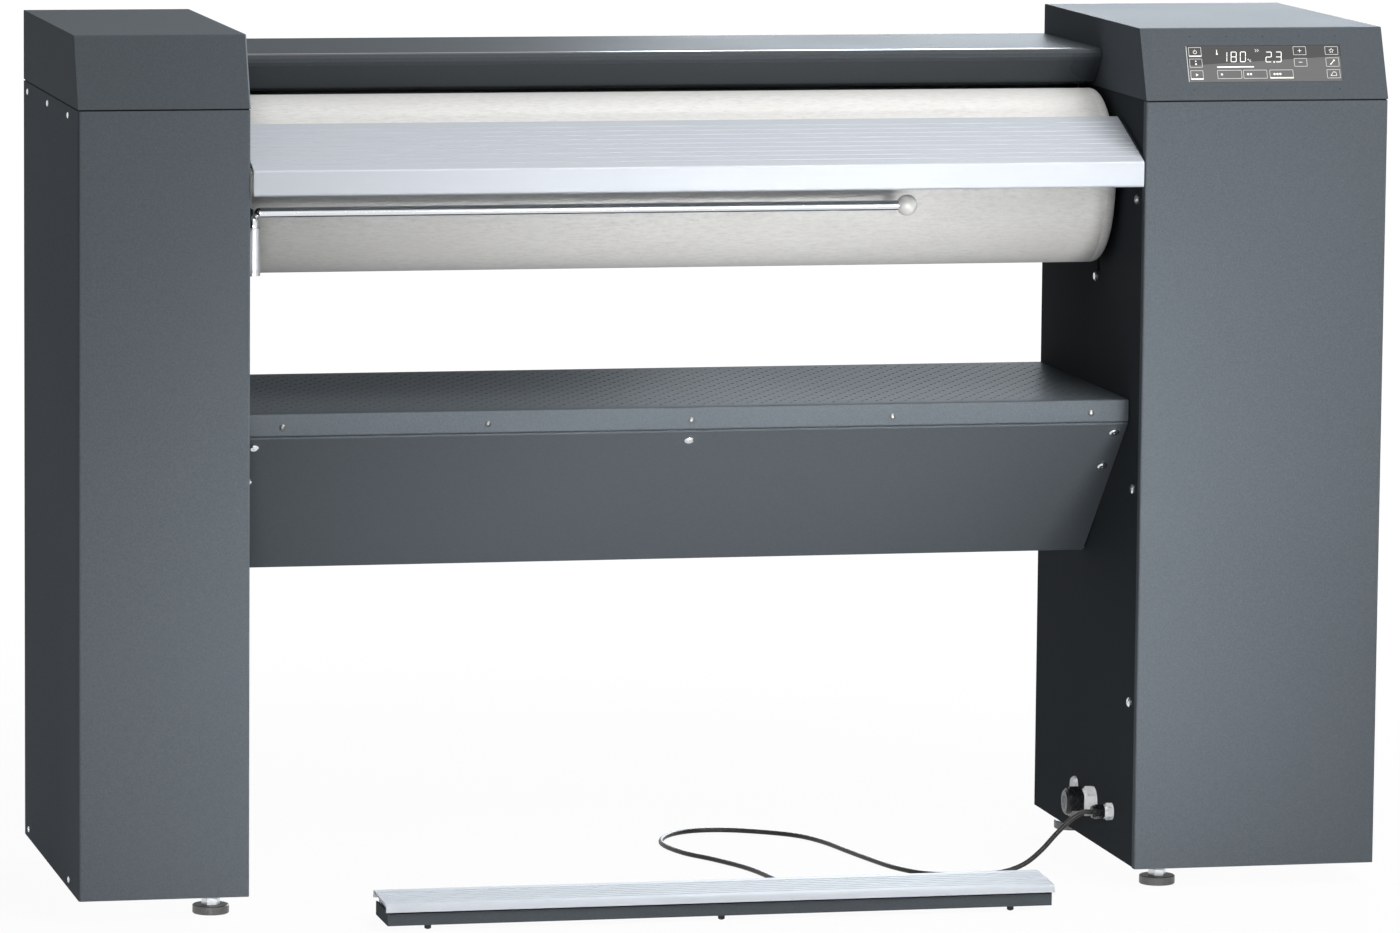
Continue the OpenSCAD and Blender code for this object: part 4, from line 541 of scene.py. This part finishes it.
def close_edit():
    """Turns all faces outward and ends the editing."""
    bpy.ops.mesh.select_all(action="SELECT")
    bpy.ops.mesh.normals_make_consistent(inside=False)
    bpy.ops.object.mode_set(mode="OBJECT")


def pick_edges(piece, wanted):
    """In edit mode, selects the edges of which both ends pass the test."""
    bpy.ops.mesh.select_mode(type="EDGE")
    bpy.ops.mesh.select_all(action="DESELECT")
    bpy.ops.object.mode_set(mode="OBJECT")
    vertices = piece.data.vertices
    for edge in piece.data.edges:
        edge.select = all(wanted(vertices[v].co) for v in edge.vertices)
    bpy.ops.object.mode_set(mode="EDIT")


def extrude_faces(x, y, z):
    """Extrudes the selected faces or rim by a move."""
    bpy.ops.mesh.extrude_region_move(TRANSFORM_OT_translate={"value": (x, y, z)})


def extrude_edges(x, y, z):
    """Extrudes the selected edges by a move."""
    bpy.ops.mesh.extrude_edges_move(TRANSFORM_OT_translate={"value": (x, y, z)})


def apply_modifier(piece, kind, name, **settings):
    """Adds a modifier with its settings to a piece, and applies it."""
    made = piece.modifiers.new(name, kind)
    for key, value in settings.items():
        setattr(made, key, value)
    bpy.context.view_layer.objects.active = piece
    bpy.ops.object.modifier_apply(modifier=made.name)


def settle(piece, name, body, finish, angle=35):
    """Names a finished piece, puts its object at the origin and lets it ride on its body."""
    choose(piece)
    bpy.ops.object.transform_apply(location=True, rotation=True, scale=True)
    bpy.ops.object.shade_smooth_by_angle(angle=math.radians(angle))
    piece.name = name
    piece.data.materials.clear()
    piece.data.materials.append(finish)
    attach(piece, body)
    clear_selection()
    return piece


# Foot cable

# Its route in the frame's millimetres, from the gland over the floor to the foot bar
CABLE_ROUTE = [
    (462, -70, 78), (458, -70, 78), (453, -70, 78), (438, -69, 70), (420, -66, 52), (402, -62, 31),
    (382, -57, 14), (356, -52, 4.5), (322, -51, 3.2), (286, -50, 3.2), (258, -32, 3.2),
    (236, 10, 3.2), (221, 66, 3.2), (207, 130, 3.2), (193, 196, 3.2), (172, 244, 3.2),
    (134, 278, 3.2), (88, 300, 3.2), (44, 297, 3.2), (10, 266, 3.2), (-6, 214, 3.2),
    (6, 150, 3.2), (34, 96, 3.2), (60, 32, 3.2), (74, -40, 3.2), (83, -130, 3.2),
    (86, -175, 7), (86, -196, 14), (86, -201.5, 14), (86, -207, 14),
]
# Steps of its line between two points of the route
CABLE_STEPS = 5
CABLE_D = 0.006


def smooth_route(points, steps):
    """A smooth curve through the points, with this many steps between two of them."""
    route = [Vector(p) / MM_PER_M for p in points]
    line = []
    for i in range(len(route) - 1):
        a, b, c, d = route[max(i - 1, 0)], route[i], route[i + 1], route[min(i + 2, len(route) - 1)]
        for k in range(steps):
            u = k / steps
            line.append(b + u / 2 * (c - a + u * (2 * a - 5 * b + 4 * c - d + u * (3 * (b - c) + d - a))))
    return line + [route[-1]]


def foot_cable(finish):
    """The foot bar's cable, one round curve from end to end."""
    line = smooth_route(CABLE_ROUTE, CABLE_STEPS)
    curve = bpy.data.curves.new("foot_cable", "CURVE")
    curve.dimensions = "3D"
    spline = curve.splines.new("POLY")
    spline.points.add(len(line) - 1)
    for point, place in zip(spline.points, line):
        point.co = (*place, 1)
    curve.bevel_depth = CABLE_D / 2
    curve.bevel_resolution = 3
    curve.use_fill_caps = True
    piece = bpy.data.objects.new("foot_cable", curve)
    bpy.context.scene.collection.objects.link(piece)
    curve.materials.append(finish)
    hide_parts("bar_cable")
    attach(piece, "machine")


# Foot bar buffers

BUFFER_R = 0.006
BUFFER_SIDES = 32
BUFFER_FOLDS = 4
# Radius between two folds, as a share of the full radius
BUFFER_WAIST = 0.7
# Width of the rounding on each fold
BUFFER_SOFTNESS = 0.0005


def foot_bar_buffers(finish):
    """Three folded rubber buffers for the foot bar's cover."""
    low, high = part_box("bar_buffers")
    step = (high.z - low.z) / (2 * BUFFER_FOLDS)
    y = (low.y + high.y) / 2
    made = []
    for x in (low.x + BUFFER_R, (low.x + high.x) / 2, high.x - BUFFER_R):
        clear_selection()
        bpy.ops.mesh.primitive_circle_add(vertices=BUFFER_SIDES, radius=BUFFER_WAIST * BUFFER_R,
                                          fill_type="NGON", location=(x, y, low.z))
        made.append(bpy.context.object)
        edit_all()
        for fold in range(2 * BUFFER_FOLDS):
            extrude_faces(0, 0, step)
            size = 1 / BUFFER_WAIST if fold % 2 == 0 else BUFFER_WAIST
            bpy.ops.transform.resize(value=(size, size, 1))
        close_edit()
        apply_modifier(made[-1], "BEVEL", "soft_folds", width=BUFFER_SOFTNESS, segments=2,
                       limit_method="ANGLE")
    choose(*made)
    bpy.ops.object.join()
    piece = settle(made[0], "folded_buffers", "machine", finish, angle=50)
    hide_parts("bar_buffers")
    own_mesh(piece)


# Roller cover

# Its two ends and the roller's axis, in millimetres on the machine
COVER_LEFT, COVER_RIGHT = 206, 1264
ROLLER_Y, ROLLER_Z = 207, 841
# Radius and wall, in metres
COVER_R = 0.105
COVER_WALL = 0.0012
COVER_SIDES = 112
# Each end, drawn in and with its sewn groove: millimetres from the end, and the radius there in metres
COVER_END = [
    (0.0, 0.0915), (0.0, 0.0990), (0.9, 0.1022), (2.8, 0.1040), (6.0, 0.1049), (10.6, 0.1050),
    (11.4, 0.1040), (12.8, 0.1040), (13.8, 0.1050),
]
# Distance between the rings of its middle, in millimetres
COVER_STEP = 46.0


def roller_cover(finish):
    """The felt sleeve: drawn in over both ends, with a sewn groove a finger's width from each end."""
    length = COVER_RIGHT - COVER_LEFT
    profile = COVER_END + [(k * COVER_STEP, COVER_R) for k in range(1, int(length / COVER_STEP))]
    profile += [(length - x, r) for x, r in reversed(COVER_END)]
    clear_selection()
    bpy.ops.mesh.primitive_circle_add(vertices=COVER_SIDES, radius=profile[0][1], location=(0, 0, 0),
                                      rotation=(0, math.pi / 2, 0))
    piece = bpy.context.object
    bpy.ops.object.transform_apply(location=True, rotation=True, scale=True)
    edit_all()
    for (x0, r0), (x1, r1) in zip(profile, profile[1:]):
        extrude_faces((x1 - x0) / MM_PER_M, 0, 0)
        if r1 != r0:
            bpy.ops.transform.resize(value=(1, r1 / r0, r1 / r0), center_override=(x1 / MM_PER_M, 0, 0))
    close_edit()
    apply_modifier(piece, "SOLIDIFY", "wall", thickness=COVER_WALL, offset=-1)
    piece.location = spot(COVER_LEFT, ROLLER_Y, ROLLER_Z)
    settle(piece, "roller_felt_cover", "roller", finish, angle=60)
    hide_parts("roller_cloth", "roller_padding")


# Perforated linen shelf, all in millimetres on the machine

SHELF_LEFT, SHELF_RIGHT = 201, 1269
SHELF_FRONT, SHELF_BACK = 55, 461
SHELF_TOP = 585.5
SHELF_SHEET = 1.5
APRON_DROP, REAR_DROP = 27, 25
# Width of the rims folded in under the apron and under the rear fold
SHELF_RIM = 16
FOLD_R = 2.6
HOLE_R = 2.3
HOLE_PITCH_X, HOLE_PITCH_Y = 17.5, 30.3
# Holes in a row, and rows in step with each other. As many more rows stand staggered between them
HOLES_ACROSS, HOLE_ROWS = 59, 12
# Middle of the first hole of the rows in step, at the front and furthest left
FIRST_HOLE_X, FIRST_HOLE_Y = 223.1, 99.9
# Margin left solid beside a hole as it is laid out, as a share of its cell's width
CELL_MARGIN = 0.2
# Vertices nearer to the cell's middle than this share of its width are the hole's
HOLE_PART = 0.45
# How near to a line an edge has to lie to count as on it
NEAR = 0.05
# Longest gap that is closed between two cells
CELL_GAP = 0.02
# A face that looks to the front at least this much gets the apron's paler paint, painted light on what is
# one paint with the top
APRON_NORMAL_Y = -0.75


def punched_cell(width, depth, hole_r):
    """A rectangle of sheet with a round hole in its middle, as an object at the origin."""
    margin = CELL_MARGIN * width
    clear_selection()
    bpy.ops.mesh.primitive_plane_add(size=1)
    cell = bpy.context.object
    cell.scale = (width, depth, 1)
    bpy.ops.object.transform_apply(scale=True)
    edit_all()
    bpy.ops.mesh.inset(thickness=margin)
    squarer = (width - 2 * margin) / (depth - 2 * margin)
    bpy.ops.transform.resize(value=(1, squarer, 1), center_override=(0, 0, 0))
    bpy.ops.mesh.subdivide(number_cuts=2)
    bpy.ops.transform.tosphere(value=1)
    bpy.ops.object.mode_set(mode="OBJECT")
    rim = max(v.co.length for v in cell.data.vertices if v.co.length < HOLE_PART * width)
    bpy.ops.object.mode_set(mode="EDIT")
    bpy.ops.transform.resize(value=(hole_r / rim, hole_r / rim, 1), center_override=(0, 0, 0))
    bpy.ops.mesh.delete(type="FACE")
    bpy.ops.object.mode_set(mode="OBJECT")
    return cell


def punched_sheet():
    """The shelf's flat top with its staggered holes, in edit mode, in the machine's millimetres."""
    half_x, half_y = HOLE_PITCH_X / 2, HOLE_PITCH_Y / 2
    piece = punched_cell(half_x, half_y, HOLE_R)
    choose(piece)
    bpy.ops.object.duplicate()
    parts = [bpy.context.object]
    parts[0].location = (half_x, -half_y, 0)
    for x, y in ((half_x, 0), (0, -half_y)):
        clear_selection()
        bpy.ops.mesh.primitive_plane_add(size=1, location=(x, y, 0))
        plain = bpy.context.object
        plain.scale = (half_x, half_y, 1)
        parts.append(plain)
    choose(piece, *parts)
    bpy.ops.object.transform_apply(location=True, rotation=True, scale=True)
    bpy.ops.object.join()
    for name, count, offset in (("across", HOLES_ACROSS, (HOLE_PITCH_X, 0, 0)),
                                ("back", HOLE_ROWS, (0, HOLE_PITCH_Y, 0))):
        apply_modifier(piece, "ARRAY", name, count=count, use_relative_offset=False,
                       use_constant_offset=True, constant_offset_displace=offset,
                       use_merge_vertices=True, merge_threshold=CELL_GAP / 2)
    piece.location = (FIRST_HOLE_X, FIRST_HOLE_Y, SHELF_TOP)
    bpy.ops.object.transform_apply(location=True, rotation=False, scale=False)
    edit_all()
    bpy.ops.mesh.remove_doubles(threshold=CELL_GAP)
    return piece


def pull_edge(piece, axis, side, place):
    """Extrudes the outermost edges on one side, min or max of the axis, out to the place given."""
    bpy.ops.object.mode_set(mode="OBJECT")
    edge_at = side(v.co[axis] for v in piece.data.vertices)
    bpy.ops.object.mode_set(mode="EDIT")
    pick_edges(piece, lambda p: abs(p[axis] - edge_at) < NEAR)
    move = [0, 0, 0]
    move[axis] = place - edge_at
    extrude_edges(*move)


def perforated_shelf(finish, lit_apron_finish):
    """The shelf's top with its holes, then its apron, rear fold and rims, folded on."""
    piece = punched_sheet()
    pull_edge(piece, 0, min, SHELF_LEFT)
    pull_edge(piece, 0, max, SHELF_RIGHT)
    pull_edge(piece, 1, min, SHELF_FRONT)
    extrude_edges(0, 0, -APRON_DROP)
    extrude_edges(0, SHELF_RIM, 0)
    pull_edge(piece, 1, max, SHELF_BACK)
    extrude_edges(0, 0, -REAR_DROP)
    extrude_edges(0, -SHELF_RIM, 0)
    for y, drop in ((SHELF_FRONT, APRON_DROP), (SHELF_BACK, REAR_DROP)):
        for z in (SHELF_TOP, SHELF_TOP - drop):
            pick_edges(piece, lambda p: abs(p.y - y) < NEAR and abs(p.z - z) < NEAR)
            bpy.ops.mesh.bevel(offset=FOLD_R, segments=4, affect="EDGES")
    close_edit()
    top = max(piece.data.polygons, key=lambda f: f.center.z)
    if top.normal.z < 0:
        piece.data.flip_normals()
    apply_modifier(piece, "SOLIDIFY", "sheet", thickness=SHELF_SHEET, offset=-1)
    piece.data.transform(Matrix.Scale(1 / MM_PER_M, 4) @ Matrix.Translation((-SHIFT_X, -SHIFT_Y, 0)))
    settle(piece, "perforated_shelf", "machine", finish, angle=40)
    # Apron in the paler column paint, top in the darker shelf paint: painted light and shade on one sheet
    piece.data.materials.append(lit_apron_finish)
    for face in piece.data.polygons:
        if face.normal.y < APRON_NORMAL_Y:
            face.material_index = 1
    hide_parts("linen_shelf")


# Touch panel marks, in millimetres: X across the machine, Y up the slope of the cap from its foot

SLOPE_RISE, SLOPE_RUN = 83, 35
SLOPE_FOOT_Z = 947
# Width of the ledge by which the glass is held behind the cap
GLASS_LEDGE = 4
# The pale line along the glass's left edge: how far its sides lie from that edge, its foot and its top
EDGE_LINE_SIDES = (0.1, 0.75)
EDGE_LINE_FOOT, EDGE_LINE_TOP = 22.8, 67.4
# Thickness of the marks, the outlines and the pits, and the gap under an outline
MARK_LIFT, OUTLINE_LIFT, PIT_LIFT = 0.12, 0.1, 0.05
OUTLINE_GAP = 0.02
# Line width and corner of a key's outline
OUTLINE_W, OUTLINE_CORNER = 0.5, 0.8
# Bars of the numerals that are lit, their width, and how much the numerals lean
SEGMENTS = {"0": "abcdef", "1": "bc", "2": "abged", "3": "abgcd", "8": "abcdefg"}
DIGIT_STROKE = 0.86
DIGIT_LEAN = 0.1
# Corners of the keys: left, foot, right, top
KEYS = [
    (1327, 54.4, 1342.6, 66), (1327, 40.8, 1342.6, 51.6), (1327, 25.7, 1342.6, 37.1),
    (1360, 26.5, 1390, 37.2), (1392, 26.5, 1421.4, 37.2), (1424.5, 26.5, 1453.6, 37.2),
    (1456, 55.5, 1472, 66.1), (1456, 41, 1472, 51.4),
    (1495.3, 55.6, 1511.6, 65.9), (1495.3, 40.7, 1511.6, 51.8), (1495.3, 26.2, 1511.6, 37.1),
]
# Lit lines: one under the left number, and one under each key that is on
LIT_LINES = [
    (1360.4, 40.4, 1405.8, 41.8), (1327.4, 54.2, 1342.4, 55.6), (1327.4, 25.6, 1342.4, 27.1),
    (1424.7, 26.3, 1453.4, 27.9),
]
# Numerals: sign, left side, foot, width, height
NUMERALS = [
    ("1", 1368.5, 47.6, 4.5, 12.2), ("8", 1378.2, 47.6, 6.3, 12.2), ("0", 1389.6, 47.6, 6.3, 12.2),
    ("2", 1421.2, 47.0, 6.6, 12.4), ("3", 1433.4, 47.0, 6.6, 12.4),
]
# Dots of the three heat keys: the first dot's place across, and how many
HEAT_DOTS = [(1365.5, 1), (1397.6, 2), (1430.3, 3)]
DOT_R, DOT_Y, DOT_PITCH = 1.35, 31.9, 3.6
# Sign of a small iron, as a closed line
IRON_SIGN = [(1499.8, 29.4), (1507.2, 29.4), (1506.4, 33.6), (1503.2, 34.0), (1499.8, 29.4)]


def onto_slope():
    """From the panel's own plane to the frame."""
    return (
        Matrix.Scale(1 / MM_PER_M, 4)
        @ Matrix.Translation((-SHIFT_X, -SHIFT_Y, SLOPE_FOOT_Z))
        @ Matrix.Rotation(math.atan2(SLOPE_RISE, SLOPE_RUN), 4, "X")
    )


def bar_mark(x0, y0, x1, y1):
    """A thin raised rectangle on the panel's plane."""
    bpy.ops.mesh.primitive_cube_add(size=1, location=((x0 + x1) / 2, (y0 + y1) / 2, MARK_LIFT / 2))
    made = bpy.context.object
    made.scale = (abs(x1 - x0), abs(y1 - y0), MARK_LIFT)
    return made


def frame_mark(x0, y0, x1, y1):
    """A key's outline: a thin rectangle with its middle taken out."""
    bpy.ops.mesh.primitive_plane_add(size=1, location=((x0 + x1) / 2, (y0 + y1) / 2, OUTLINE_GAP))
    made = bpy.context.object
    made.scale = (x1 - x0, y1 - y0, 1)
    bpy.ops.object.transform_apply(location=True, rotation=False, scale=True)
    edit_all()
    bpy.ops.mesh.bevel(offset=OUTLINE_CORNER, segments=3, affect="VERTICES")
    bpy.ops.mesh.inset(thickness=OUTLINE_W)
    bpy.ops.mesh.delete(type="FACE")
    bpy.ops.mesh.select_all(action="SELECT")
    extrude_faces(0, 0, OUTLINE_LIFT)
    close_edit()
    return made


def disc_mark(x, y, radius, sides=20, turn=0.0, lift=MARK_LIFT):
    """A small disc, or a shape with few sides."""
    bpy.ops.mesh.primitive_cylinder_add(vertices=sides, radius=radius, depth=lift, location=(x, y, lift / 2),
                                        rotation=(0, 0, turn))
    return bpy.context.object


def stroke_mark(x0, y0, x1, y1, width):
    """A straight stroke between two points."""
    bpy.ops.mesh.primitive_cube_add(size=1, location=((x0 + x1) / 2, (y0 + y1) / 2, MARK_LIFT / 2),
                                    rotation=(0, 0, math.atan2(y1 - y0, x1 - x0)))
    made = bpy.context.object
    made.scale = (math.hypot(x1 - x0, y1 - y0), width, MARK_LIFT)
    return made


def line_mark(points, width):
    """Strokes from each point to the next."""
    return [stroke_mark(*a, *b, width) for a, b in zip(points, points[1:])]


def ring_mark(x, y, radius, width, steps, start=0.0, sweep=360.0):
    """An arc of short strokes."""
    turns = [math.radians(start + sweep * k / steps) for k in range(steps + 1)]
    return line_mark([(x + radius * math.cos(a), y + radius * math.sin(a)) for a in turns], width)


def digit_mark(sign, x, y, width, height):
    """A seven-bar numeral whose foot stands at x, y."""
    gap = DIGIT_STROKE * 0.35
    mid = height / 2
    ends = {
        "a": (gap, height, width - gap, height),
        "b": (width, mid + gap, width, height - gap),
        "c": (width, gap, width, mid - gap),
        "d": (gap, 0, width - gap, 0),
        "e": (0, gap, 0, mid - gap),
        "f": (0, mid + gap, 0, height - gap),
        "g": (gap, mid, width - gap, mid),
    }
    made = []
    for segment in SEGMENTS[sign]:
        x0, y0, x1, y1 = ends[segment]
        made.append(stroke_mark(x + x0 + DIGIT_LEAN * y0, y + y0, x + x1 + DIGIT_LEAN * y1, y + y1,
                                DIGIT_STROKE))
    return made


def join_marks(made, name, finish):
    """Joins marks into one piece on the slope."""
    choose(*made)
    bpy.ops.object.transform_apply(location=True, rotation=True, scale=True)
    bpy.ops.object.join()
    piece = made[0]
    piece.data.transform(onto_slope())
    return settle(piece, name, "machine", finish)


def key_outlines(finish):
    """The keys' outlines, and the pale line along the glass's left edge."""
    glass_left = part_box("touch_panel")[0].x * MM_PER_M + SHIFT_X + GLASS_LEDGE
    made = [frame_mark(*corners) for corners in KEYS]
    left, right = (glass_left + side for side in EDGE_LINE_SIDES)
    made.append(bar_mark(left, EDGE_LINE_FOOT, right, EDGE_LINE_TOP))
    join_marks(made, "key_outlines", finish)


def lit_marks(finish):
    """The lit lines, the two numbers, the dots of the heat keys, and the signs beside the numbers."""
    made = [bar_mark(*line) for line in LIT_LINES]
    for numeral in NUMERALS:
        made += digit_mark(*numeral)
    # Point of the right number
    made.append(disc_mark(1431.3, 46.9, 0.95))
    for first, count in HEAT_DOTS:
        made += [disc_mark(first + DOT_PITCH * k, DOT_Y, DOT_R) for k in range(count)]
    # Thermometer
    made.append(disc_mark(1361.6, 57.4, 1.1))
    made.append(stroke_mark(1361.6, 57.4, 1361.6, 62.6, 0.8))
    # Unit of the temperature
    made += ring_mark(1399.6, 50.2, 0.7, 0.35, 8)
    made += ring_mark(1402.2, 48.6, 1.1, 0.4, 9, 45, 270)
    # Arrows of the speed
    for x in (1408.8, 1411.4):
        made.append(stroke_mark(x, 63.0, x + 2.0, 61.4, 0.4))
        made.append(stroke_mark(x, 59.8, x + 2.0, 61.4, 0.4))
    join_marks(made, "lit_marks", finish)


def key_signs(finish):
    """The signs on the keys."""
    # On and off
    made = ring_mark(1334.8, 60.0, 2.1, 0.45, 14, 120, 300)
    made.append(stroke_mark(1334.8, 60.4, 1334.8, 63.0, 0.5))
    # Information
    made.append(disc_mark(1334.8, 48.6, 0.8))
    made.append(disc_mark(1334.8, 45.0, 1.3, 6, math.pi / 6))
    # Play
    made.append(disc_mark(1334.6, 31.6, 2.1, 3, -math.pi / 2))
    # Plus, then minus
    made.append(stroke_mark(1461.8, 60.8, 1466.2, 60.8, 0.55))
    made.append(stroke_mark(1464, 58.6, 1464, 63.0, 0.55))
    made.append(stroke_mark(1461.8, 46.4, 1466.2, 46.4, 0.55))
    # Star
    tips = [(3.0 if k % 2 == 0 else 1.35, math.radians(90 + 36 * k)) for k in range(11)]
    made += line_mark([(1503.4 + r * math.cos(a), 60.6 + r * math.sin(a)) for r, a in tips], 0.35)
    # Spanner
    made.append(stroke_mark(1501.4, 44.0, 1505.0, 48.0, 0.8))
    made.append(disc_mark(1505.4, 48.4, 1.2, 6))
    made.append(disc_mark(1501.2, 43.8, 0.8, 8))
    made += line_mark(IRON_SIGN, 0.45)
    join_marks(made, "key_signs", finish)


def slope_pits(finish):
    """Small pits in the slope, above and below the glass, drawn as flat discs painted dark for the shade in
    them.
    """
    places = [(x, 79.3) for x in (1330.5, 1375, 1420, 1465, 1509.8)]
    places += [(x, 12.8) for x in (1329, 1419, 1509.4)]
    join_marks([disc_mark(x, y, 0.75, 12, lift=PIT_LIFT) for x, y in places], "slope_pits", finish)


# Studio

FLOOR_SIZE = 60
FLOOR_GREY = 0.42
# Distances from the middle between which the floor's seen white goes from its first share to its last
WHITE_FROM, WHITE_TO = 1.2, 5.0
WHITE_NEAR, WHITE_FAR = 0.915, 1.0
WHITE_STRENGTH = 1.04
# Light that comes from all round
ROOM_COLOUR = (0.93, 0.96, 1.0)
ROOM_STRENGTH = 0.2
WHITE = (1, 1, 1)
# Lamps: name, place, target, size, spread in degrees, watts, colour
LAMPS = [
    ("front_softbox", (1.2, -2.3, 2.9), (0.3, 0.0, 1.0), (2.0, 1.4), 180, 84, WHITE),
    ("low_fill", (-0.8, -2.4, 0.3), (-0.3, 0.0, 0.22), (0.8, 0.5), 36, 1.5, WHITE),
    ("middle_fill", (0.7, -2.5, 0.3), (0.15, 0.0, 0.6), (0.9, 0.3), 29, 1.7, WHITE),
    ("gland_fill", (-0.1, -1.7, 0.5), (0.47, -0.02, 0.08), (0.5, 0.4), 24, 0.32, WHITE),
    ("back_softbox", (1.7, 3.3, 1.6), (0.4, 0.0, 1.0), (2.2, 1.0), 180, 118, (0.92, 1.0, 1.08)),
    ("top_softbox", (0.6, -0.6, 4.0), (0.1, 0.0, 0.8), (2.4, 1.6), 180, 20, WHITE),
]


def studio_floor():
    """A matt floor that is seen as near white, a little darker close to the machine."""
    clear_selection()
    bpy.ops.mesh.primitive_plane_add(size=FLOOR_SIZE, location=(0, 0, 0))
    floor = bpy.context.object
    floor.name = "studio_floor"
    finish, shader = new_finish("studio_floor")
    shader.inputs["Base Color"].default_value = (FLOOR_GREY, FLOOR_GREY, FLOOR_GREY, 1)
    shader.inputs["Roughness"].default_value = 0.9
    shader.inputs["Specular IOR Level"].default_value = 0.0
    glow = node(finish, "ShaderNodeEmission")
    feed(finish, WHITE, glow.inputs["Color"])
    glow.inputs["Strength"].default_value = WHITE_STRENGTH
    place = node(finish, "ShaderNodeTexCoord")
    away = node(finish, "ShaderNodeVectorMath", operation="LENGTH")
    link(finish, place.outputs["Object"], away.inputs[0])
    fade = span(finish, away.outputs["Value"], WHITE_NEAR, WHITE_FAR, WHITE_FROM, WHITE_TO)
    mix = node(finish, "ShaderNodeMixShader")
    link(finish, maths(finish, "MULTIPLY", seen_share(finish), fade), mix.inputs["Fac"])
    link(finish, shader.outputs["BSDF"], mix.inputs[1])
    link(finish, glow.outputs["Emission"], mix.inputs[2])
    link(finish, mix.outputs["Shader"], finish.node_tree.nodes["Material Output"].inputs["Surface"])
    floor.data.materials.append(finish)


def surround():
    """A world that is seen as white, and lights the machine dimly."""
    world = bpy.data.worlds.new("studio")
    bpy.context.scene.world = world
    world.use_nodes = True
    dim = world.node_tree.nodes["Background"]
    feed(world, ROOM_COLOUR, dim.inputs["Color"])
    dim.inputs["Strength"].default_value = ROOM_STRENGTH
    white = node(world, "ShaderNodeBackground")
    feed(world, WHITE, white.inputs["Color"])
    white.inputs["Strength"].default_value = 1.0
    mix = node(world, "ShaderNodeMixShader")
    link(world, seen_share(world), mix.inputs["Fac"])
    link(world, dim.outputs["Background"], mix.inputs[1])
    link(world, white.outputs["Background"], mix.inputs[2])
    link(world, mix.outputs["Shader"], world.node_tree.nodes["World Output"].inputs["Surface"])


def lamps():
    """Soft lamps, none of which the camera sees."""
    for name, place, target, size, spread, power, colour in LAMPS:
        bpy.ops.object.light_add(type="AREA", location=place)
        lamp = bpy.context.object
        lamp.name = name
        lamp.data.shape = "RECTANGLE"
        lamp.data.size, lamp.data.size_y = size
        lamp.data.energy = power
        lamp.data.color = colour
        lamp.data.spread = math.radians(spread)
        lamp.visible_camera = False
        lamp.rotation_mode = "QUATERNION"
        lamp.rotation_quaternion = (Vector(target) - Vector(place)).to_track_quat("-Z", "Y")


def main():
    """Makes the camera, the pieces and the light."""
    photo_camera()
    finishes = make_finishes()
    foot_cable(finishes["cable_sheath"])
    foot_bar_buffers(finishes["stud_rubber"])
    dress_nodes(finishes)
    roller_cover(finishes["roller_fabric"])
    # The shelf's top gets the darker paint and its apron the paler column paint, as painted shade and light
    perforated_shelf(finishes["shelf"], finishes["column_paint"])
    key_outlines(finishes["faint_mark"])
    lit_marks(finishes["mark"])
    key_signs(finishes["mark"])
    slope_pits(finishes["pit"])
    studio_floor()
    surround()
    lamps()
    bpy.context.scene.view_settings.view_transform = "Standard"


main()
